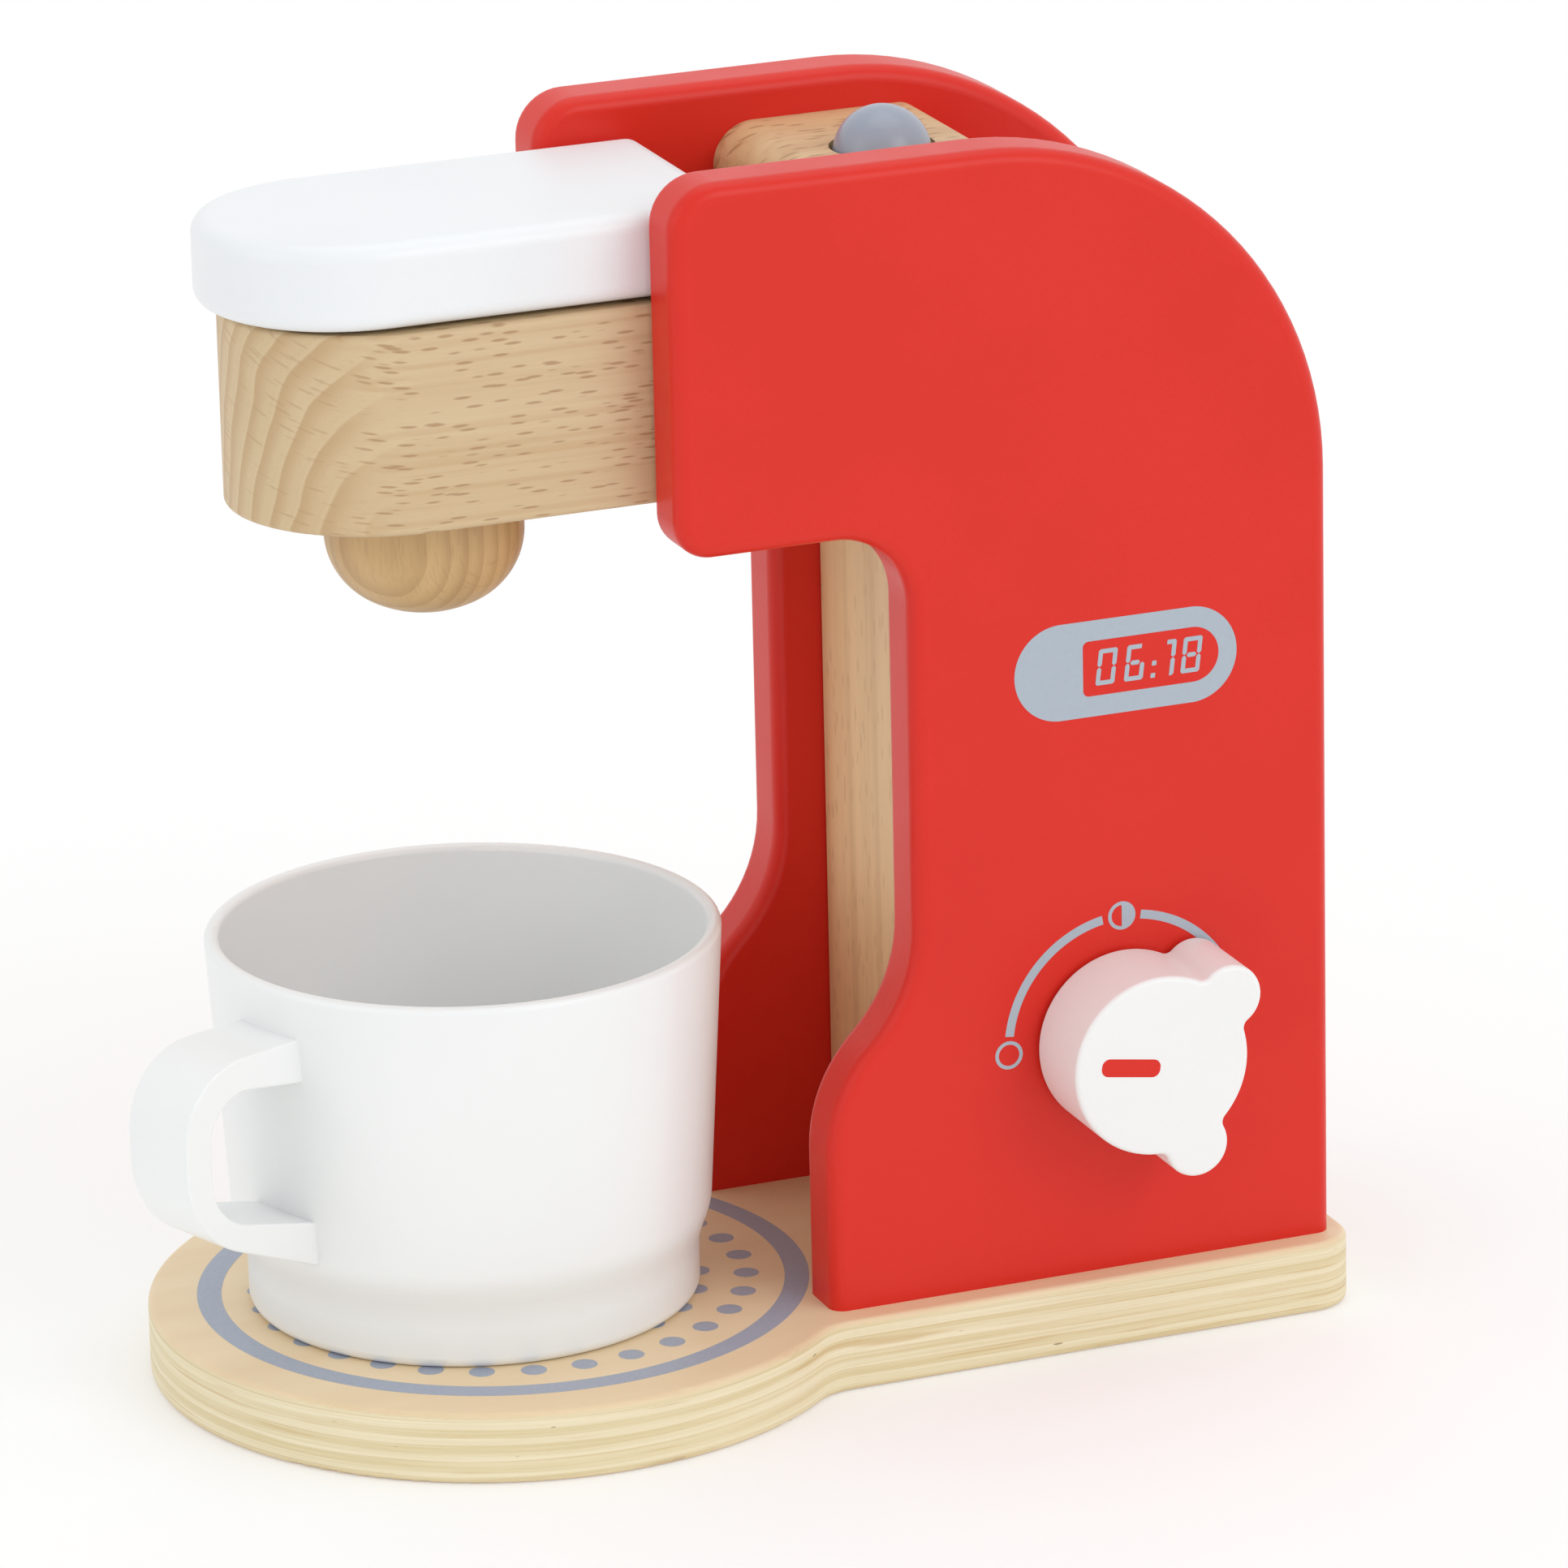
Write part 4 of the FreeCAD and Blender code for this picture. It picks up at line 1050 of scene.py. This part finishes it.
@dataclass
class DialPrint:
    """Printed scale round the knob: an empty, a half-filled and a filled mark joined by arcs."""

    face: float
    middle: float = 95.35 * MM
    height: float = 52.2 * MM
    arc_radius: float = 20.25 * MM
    stroke: float = 1.5 * MM
    mark_radius: float = 2.4 * MM
    mark_stroke: float = 0.6 * MM
    first_mark: float = 181.9
    middle_mark: float = 90.4
    last_mark: float = 4.0
    end_gap: float = 9.4
    middle_gap: float = 9.2
    ink_height: float = 0.03 * MM
    pinhole: float = 0.02 * MM
    mark_corners: int = 64
    arc_corners: int = 360

    def mark(self, angle: float, filled: Callable[[float], bool] | None) -> list[bpy.types.Object]:
        """Models one round mark of the scale.

        Args:
            angle: Degrees on the scale, 0 towards the back.
            filled: Says which angles of the inside are filled, or None.

        Returns:
            The flat pieces.
        """
        inner = self.mark_radius - self.mark_stroke
        pieces = [Bench.ring(self.mark_radius, inner, self.mark_corners)]
        if filled is not None:
            pieces.append(Bench.ring(inner, self.pinhole, self.mark_corners, filled))
        reach = self.arc_radius
        turn = math.radians(angle)
        for piece in pieces:
            piece.data.transform(Matrix.Translation((reach * math.cos(turn), reach * math.sin(turn), 0.0)))
        return pieces

    def build(self, ink: bpy.types.Material) -> bpy.types.Object:
        """Models the scale and lets it ride on the frame.

        Args:
            ink: The ink's finish.

        Returns:
            The print.
        """
        def on_arc(angle: float) -> bool:
            """Keeps the upper half but for the gaps at the marks."""
            between = self.last_mark + self.end_gap < angle < self.first_mark - self.end_gap
            return between and abs(angle - self.middle_mark) > self.middle_gap

        half = self.stroke / 2
        pieces = [Bench.ring(self.arc_radius + half, self.arc_radius - half, self.arc_corners, on_arc)]
        pieces += self.mark(self.first_mark, None)
        pieces += self.mark(self.middle_mark, lambda angle: angle < 90 or angle > 270)
        pieces += self.mark(self.last_mark, lambda angle: True)
        whole = Bench.join(pieces, "dial_print")
        Bench.thicken(whole, self.ink_height)
        whole.data.transform(on_side(self.face, self.middle, self.height))
        Bench.dress(whole, ink)
        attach(whole, "frame")
        return whole


@dataclass
class KnobPointer:
    """Red pointer printed on the knob's face."""

    face: float
    middle: float = 95.0 * MM
    height: float = 51.9 * MM
    turned: float = -8.8
    length: float = 10.3 * MM
    width: float = 3.0 * MM
    corner: float = 1.3 * MM
    reach: float = -5.6 * MM
    lift: float = -0.25 * MM
    ink_height: float = 0.05 * MM
    corner_steps: int = 8

    def build(self, red: bpy.types.Material) -> bpy.types.Object:
        """Models the pointer and lets it ride on the knob.

        Args:
            red: The red paint.

        Returns:
            The pointer.
        """
        piece = Bench.box_outline(self.length, self.width)
        Bench.round_corners(piece, self.corner, self.corner_steps, lambda place: True)
        piece.name = "knob_pointer"
        Bench.thicken(piece, self.ink_height)
        piece.data.transform(Matrix.Translation((self.reach, self.lift, 0.0)))
        piece.data.transform(on_side(self.face, self.middle, self.height, self.turned))
        Bench.dress(piece, red)
        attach(piece, "knob")
        return piece


@dataclass
class ReturnSpring:
    """The button's return spring as wound wire."""

    press: float = 4.5 * MM
    wire: float = 1.1 * MM
    turns: int = 5
    steps: int = 32
    profile: int = 12

    def build(self, low: Sequence[float], high: Sequence[float],
              steel: bpy.types.Material) -> bpy.types.Object:
        """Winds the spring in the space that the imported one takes.

        Args:
            low: Lowest corner of that space.
            high: Highest corner of that space.
            steel: The wire's finish.

        Returns:
            The spring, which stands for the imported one.
        """
        half = self.wire / 2
        Bench.clear()
        bpy.ops.mesh.primitive_circle_add(vertices=self.profile, radius=half, fill_type="NOTHING")
        piece = bpy.context.object
        piece.name = "return_spring"
        upright = Matrix.Rotation(math.pi / 2, 4, "X")
        piece.data.transform(Matrix.Translation(((high[0] - low[0]) / 2 - half, 0.0, half)) @ upright)
        winding = piece.modifiers.new("winding", "SCREW")
        winding.axis = "Z"
        winding.iterations = self.turns
        winding.steps = winding.render_steps = self.steps
        winding.screw_offset = (high[2] - low[2] - self.wire) / self.turns
        bpy.ops.object.modifier_apply(modifier=winding.name)
        bpy.ops.object.mode_set(mode="EDIT")
        bpy.ops.mesh.select_all(action="SELECT")
        bpy.ops.mesh.fill_holes(sides=self.profile)
        bpy.ops.mesh.select_all(action="SELECT")
        bpy.ops.mesh.normals_make_consistent(inside=False)
        Bench.clear()
        foot = ((low[0] + high[0]) / 2, (low[1] + high[1]) / 2, low[2])
        piece.data.transform(Matrix.Translation(foot))
        Bench.dress(piece, steel)
        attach(piece, "frame")
        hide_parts("button_spring")
        keep = 1.0 - self.press / (high[2] - low[2])
        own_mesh(piece)
        return piece


@dataclass
class Finishes:
    """Every finish of the toy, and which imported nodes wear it."""

    nodes: dict[str, bpy.types.Object]

    def dress(self) -> dict[str, bpy.types.Material]:
        """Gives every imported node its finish.

        Returns:
            The materials that further pieces share, by name.
        """
        red = Lacquer("red_lacquer", paint(219, 43, 30), paint(212, 38, 26), gloss=0.3, coat=0.0).material()
        white = Lacquer("white_lacquer", paint(237, 240, 242), paint(232, 235, 238), roughness=0.4).material()
        knob = Lacquer("knob_lacquer", paint(240, 241, 240), paint(236, 237, 237), roughness=0.42).material()
        grey = Lacquer("grey_lacquer", paint(152, 160, 175), paint(142, 151, 168), roughness=0.3).material()
        cup = Moulded("cup_plastic", paint(241, 243, 243), paint(237, 239, 239)).material()
        nylon = Moulded("washer_nylon", paint(228, 226, 218), paint(222, 220, 212)).material()
        steel = PlatedSteel("plated_steel").material()
        head = Beech("beech_head", Axis.Y, pith=(0.093, 0.133), end_grain=(-0.022, -0.032)).material()
        block = Beech("beech_top_block", Axis.Y, pith=(0.075, 0.290), light=paint(216, 182, 138),
                      dark=paint(198, 158, 112)).material()
        upright = Beech("beech_upright", Axis.Z, pith=(0.09, -0.02), light=paint(238, 205, 156),
                        dark=paint(222, 186, 138), fleck=paint(206, 168, 120), fleck_share=0.4).material()
        turned = Beech("beech_turned", Axis.Z, pith=(0.032, -0.0432), light=paint(206, 171, 120),
                       dark=paint(178, 141, 93), fleck=paint(178, 142, 96), fleck_share=0.4, line_share=0.1,
                       ring=0.0030, ring_share=0.55).material()
        dowel = Beech("beech_dowels", Axis.X, pith=(0.3, 0.0)).material()
        plywood = Plywood("birch_plywood", 9, 12 * MM).material()
        wears = {
            "base_plate": plywood, "right_side_panel": red, "left_side_panel": red, "head_block": head,
            "spout_nozzle": turned, "lid": white, "lid_hinge_pins": steel, "top_block": block,
            "column_board": upright, "button": grey, "button_spring": steel, "spring_plug": turned,
            "head_dowels": dowel, "top_block_dowels": dowel, "column_dowels": dowel, "base_screws": steel,
            "knob": knob, "knob_spindle": dowel, "knob_washer": nylon, "keeper_washer": steel,
            "knob_screw": steel, "cup": cup,
        }
        for name, material in wears.items():
            Bench.dress(self.nodes[name], material)
            log.info("%s wears %s", name, material.name)
        return {"red": red, "steel": steel}


@dataclass
class Stage:
    """Pale floor, plain soft light and a white surround."""

    floor_size: float = 12.0
    floor_colour: Colour = paint(254, 254, 253)
    floor_speck: Colour = paint(251, 251, 250)
    specks: float = 400.0
    speck_share: float = 0.1
    floor_roughness: float = 0.9
    aim: tuple[float, float, float] = (0.0, 0.03, 0.1)
    surround: float = 0.81
    fade: tuple[float, float] = (0.13, 0.34)
    lift: float = 0.3
    direct_rays: tuple[str, str, str] = ("Is Camera Ray", "Is Glossy Ray", "Is Transmission Ray")

    def build(self) -> None:
        """Builds the floor, the lamps and the world."""
        Bench.clear()
        bpy.ops.mesh.primitive_plane_add(size=self.floor_size)
        floor = bpy.context.object
        floor.name = "floor"
        recipe = Recipe("floor_paper")
        speck = recipe.noise(recipe.place, self.specks) * self.speck_share
        recipe.finish(recipe.mix(speck, self.floor_colour, self.floor_speck), self.floor_roughness)
        distance = (recipe.x * recipe.x + recipe.y * recipe.y).root()
        white = recipe.add("ShaderNodeEmission", Color=(1.0, 1.0, 1.0, 1.0), Strength=1.0)
        seen = self.seen_directly(recipe.tree)
        share = seen * (distance.ramp(*self.fade) * (1.0 - self.lift) + self.lift)
        blend = recipe.add("ShaderNodeMixShader", Fac=share)
        recipe.feed(blend.inputs[1], recipe.shader.outputs[0])
        recipe.feed(blend.inputs[2], white.outputs[0])
        sheet = next(node for node in recipe.tree.nodes if node.type == "OUTPUT_MATERIAL")
        recipe.feed(sheet.inputs["Surface"], blend.outputs[0])
        Bench.dress(floor, recipe.material)
        self.world()
        self.lamp("key_lamp", (0.25, -1.8, 0.9), 1.2, 3.2)
        self.lamp("side_lamp", (1.8, 0.9, 1.2), 1.2, 9.2)
        self.lamp("top_lamp", (-0.2, 0.3, 2.1), 1.6, 6.0)

    def seen_directly(self, tree: bpy.types.NodeTree) -> Wire:
        """Tells what sees a surface.

        Args:
            tree: The material's or the world's nodes.

        Returns:
            1 for the camera, reflections and what shines through, and 0 for plain light.
        """
        path = tree.nodes.new("ShaderNodeLightPath")
        rays = [Wire(tree, path.outputs[name]) for name in self.direct_rays]
        return rays[0].math("MAXIMUM", rays[1].math("MAXIMUM", rays[2]))

    def world(self) -> None:
        """Lights the scene evenly and shows white to the camera and to reflections."""
        world = bpy.data.worlds.new("surround")
        bpy.context.scene.world = world
        world.use_nodes = True
        tree = world.node_tree
        shader = next(node for node in tree.nodes if node.type == "BACKGROUND")
        shader.inputs["Color"].default_value = (1.0, 1.0, 1.0, 1.0)
        strength = self.seen_directly(tree) * (1.0 - self.surround) + self.surround
        tree.links.new(strength.socket, shader.inputs["Strength"])

    def lamp(self, name: str, place: tuple[float, float, float], size: float, power: float) -> None:
        """Hangs one square soft lamp that faces the toy.

        Args:
            name: The lamp's name.
            place: Where it hangs.
            size: Its side.
            power: Its power in watts.
        """
        data = bpy.data.lights.new(name, "AREA")
        data.shape = "SQUARE"
        data.size = size
        data.energy = power
        lamp = bpy.data.objects.new(name, data)
        bpy.context.scene.collection.objects.link(lamp)
        lamp.location = place
        look = Vector(self.aim) - Vector(place)
        lamp.rotation_euler = look.to_track_quat("-Z", "Y").to_euler()


@dataclass
class PhotoCamera:
    """The camera at the photograph's place, turn and lens."""

    place: tuple[float, float, float] = (1.37924, -0.48541, 0.57763)
    aim: tuple[float, float, float] = (0.0, 0.05123, 0.09033)
    roll: float = -1.33
    lens: float = 219.9

    def build(self) -> bpy.types.Object:
        """Sets the camera up and makes it the scene's own.

        Returns:
            The camera.
        """
        data = bpy.data.cameras.new("photo_camera")
        data.lens = self.lens
        data.sensor_width = 36.0
        data.clip_end = 50.0
        camera = bpy.data.objects.new("photo_camera", data)
        bpy.context.scene.collection.objects.link(camera)
        look = (Vector(self.aim) - Vector(self.place)).to_track_quat("-Z", "Y").to_matrix().to_4x4()
        turn = Matrix.Rotation(math.radians(self.roll), 4, "Z")
        camera.matrix_world = Matrix.Translation(self.place) @ look @ turn
        bpy.context.scene.camera = camera
        return camera


def corners(box: Iterable[Vector]) -> list[list[float]]:
    """Returns a box's two corners as plain lists."""
    return [[round(value, 6) for value in corner] for corner in box]


def main() -> None:
    """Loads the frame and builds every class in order."""
    logging.basicConfig(level=logging.INFO, format="%(name)s: %(message)s")
    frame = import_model()
    bpy.context.scene.view_settings.view_transform = "Standard"
    PhotoCamera().build()
    Stage().build()
    shared = Finishes(frame["nodes"]).dress()
    ink = Ink("grey_ink", paint(171, 182, 193), paint(164, 175, 187)).material()
    wood_ink = Ink("grey_ink_on_wood", paint(160, 168, 184), paint(150, 156, 172)).material()
    base_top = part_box("base_plate")[1][2]
    panel_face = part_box("right_side_panel")[1][0]
    knob_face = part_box("knob")[1][0]
    pieces = [BasePrint(base_top).build(wood_ink)]
    pieces += DisplayPrint(panel_face).build(ink, shared["red"])
    pieces.append(DialPrint(panel_face).build(ink))
    pieces.append(KnobPointer(knob_face).build(shared["red"]))
    pieces.append(ReturnSpring().build(*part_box("button_spring"), shared["steel"]))
    for piece in pieces:
        log.info("%s has %d faces", piece.name, len(piece.data.polygons))


if __name__ == "__main__":
    main()
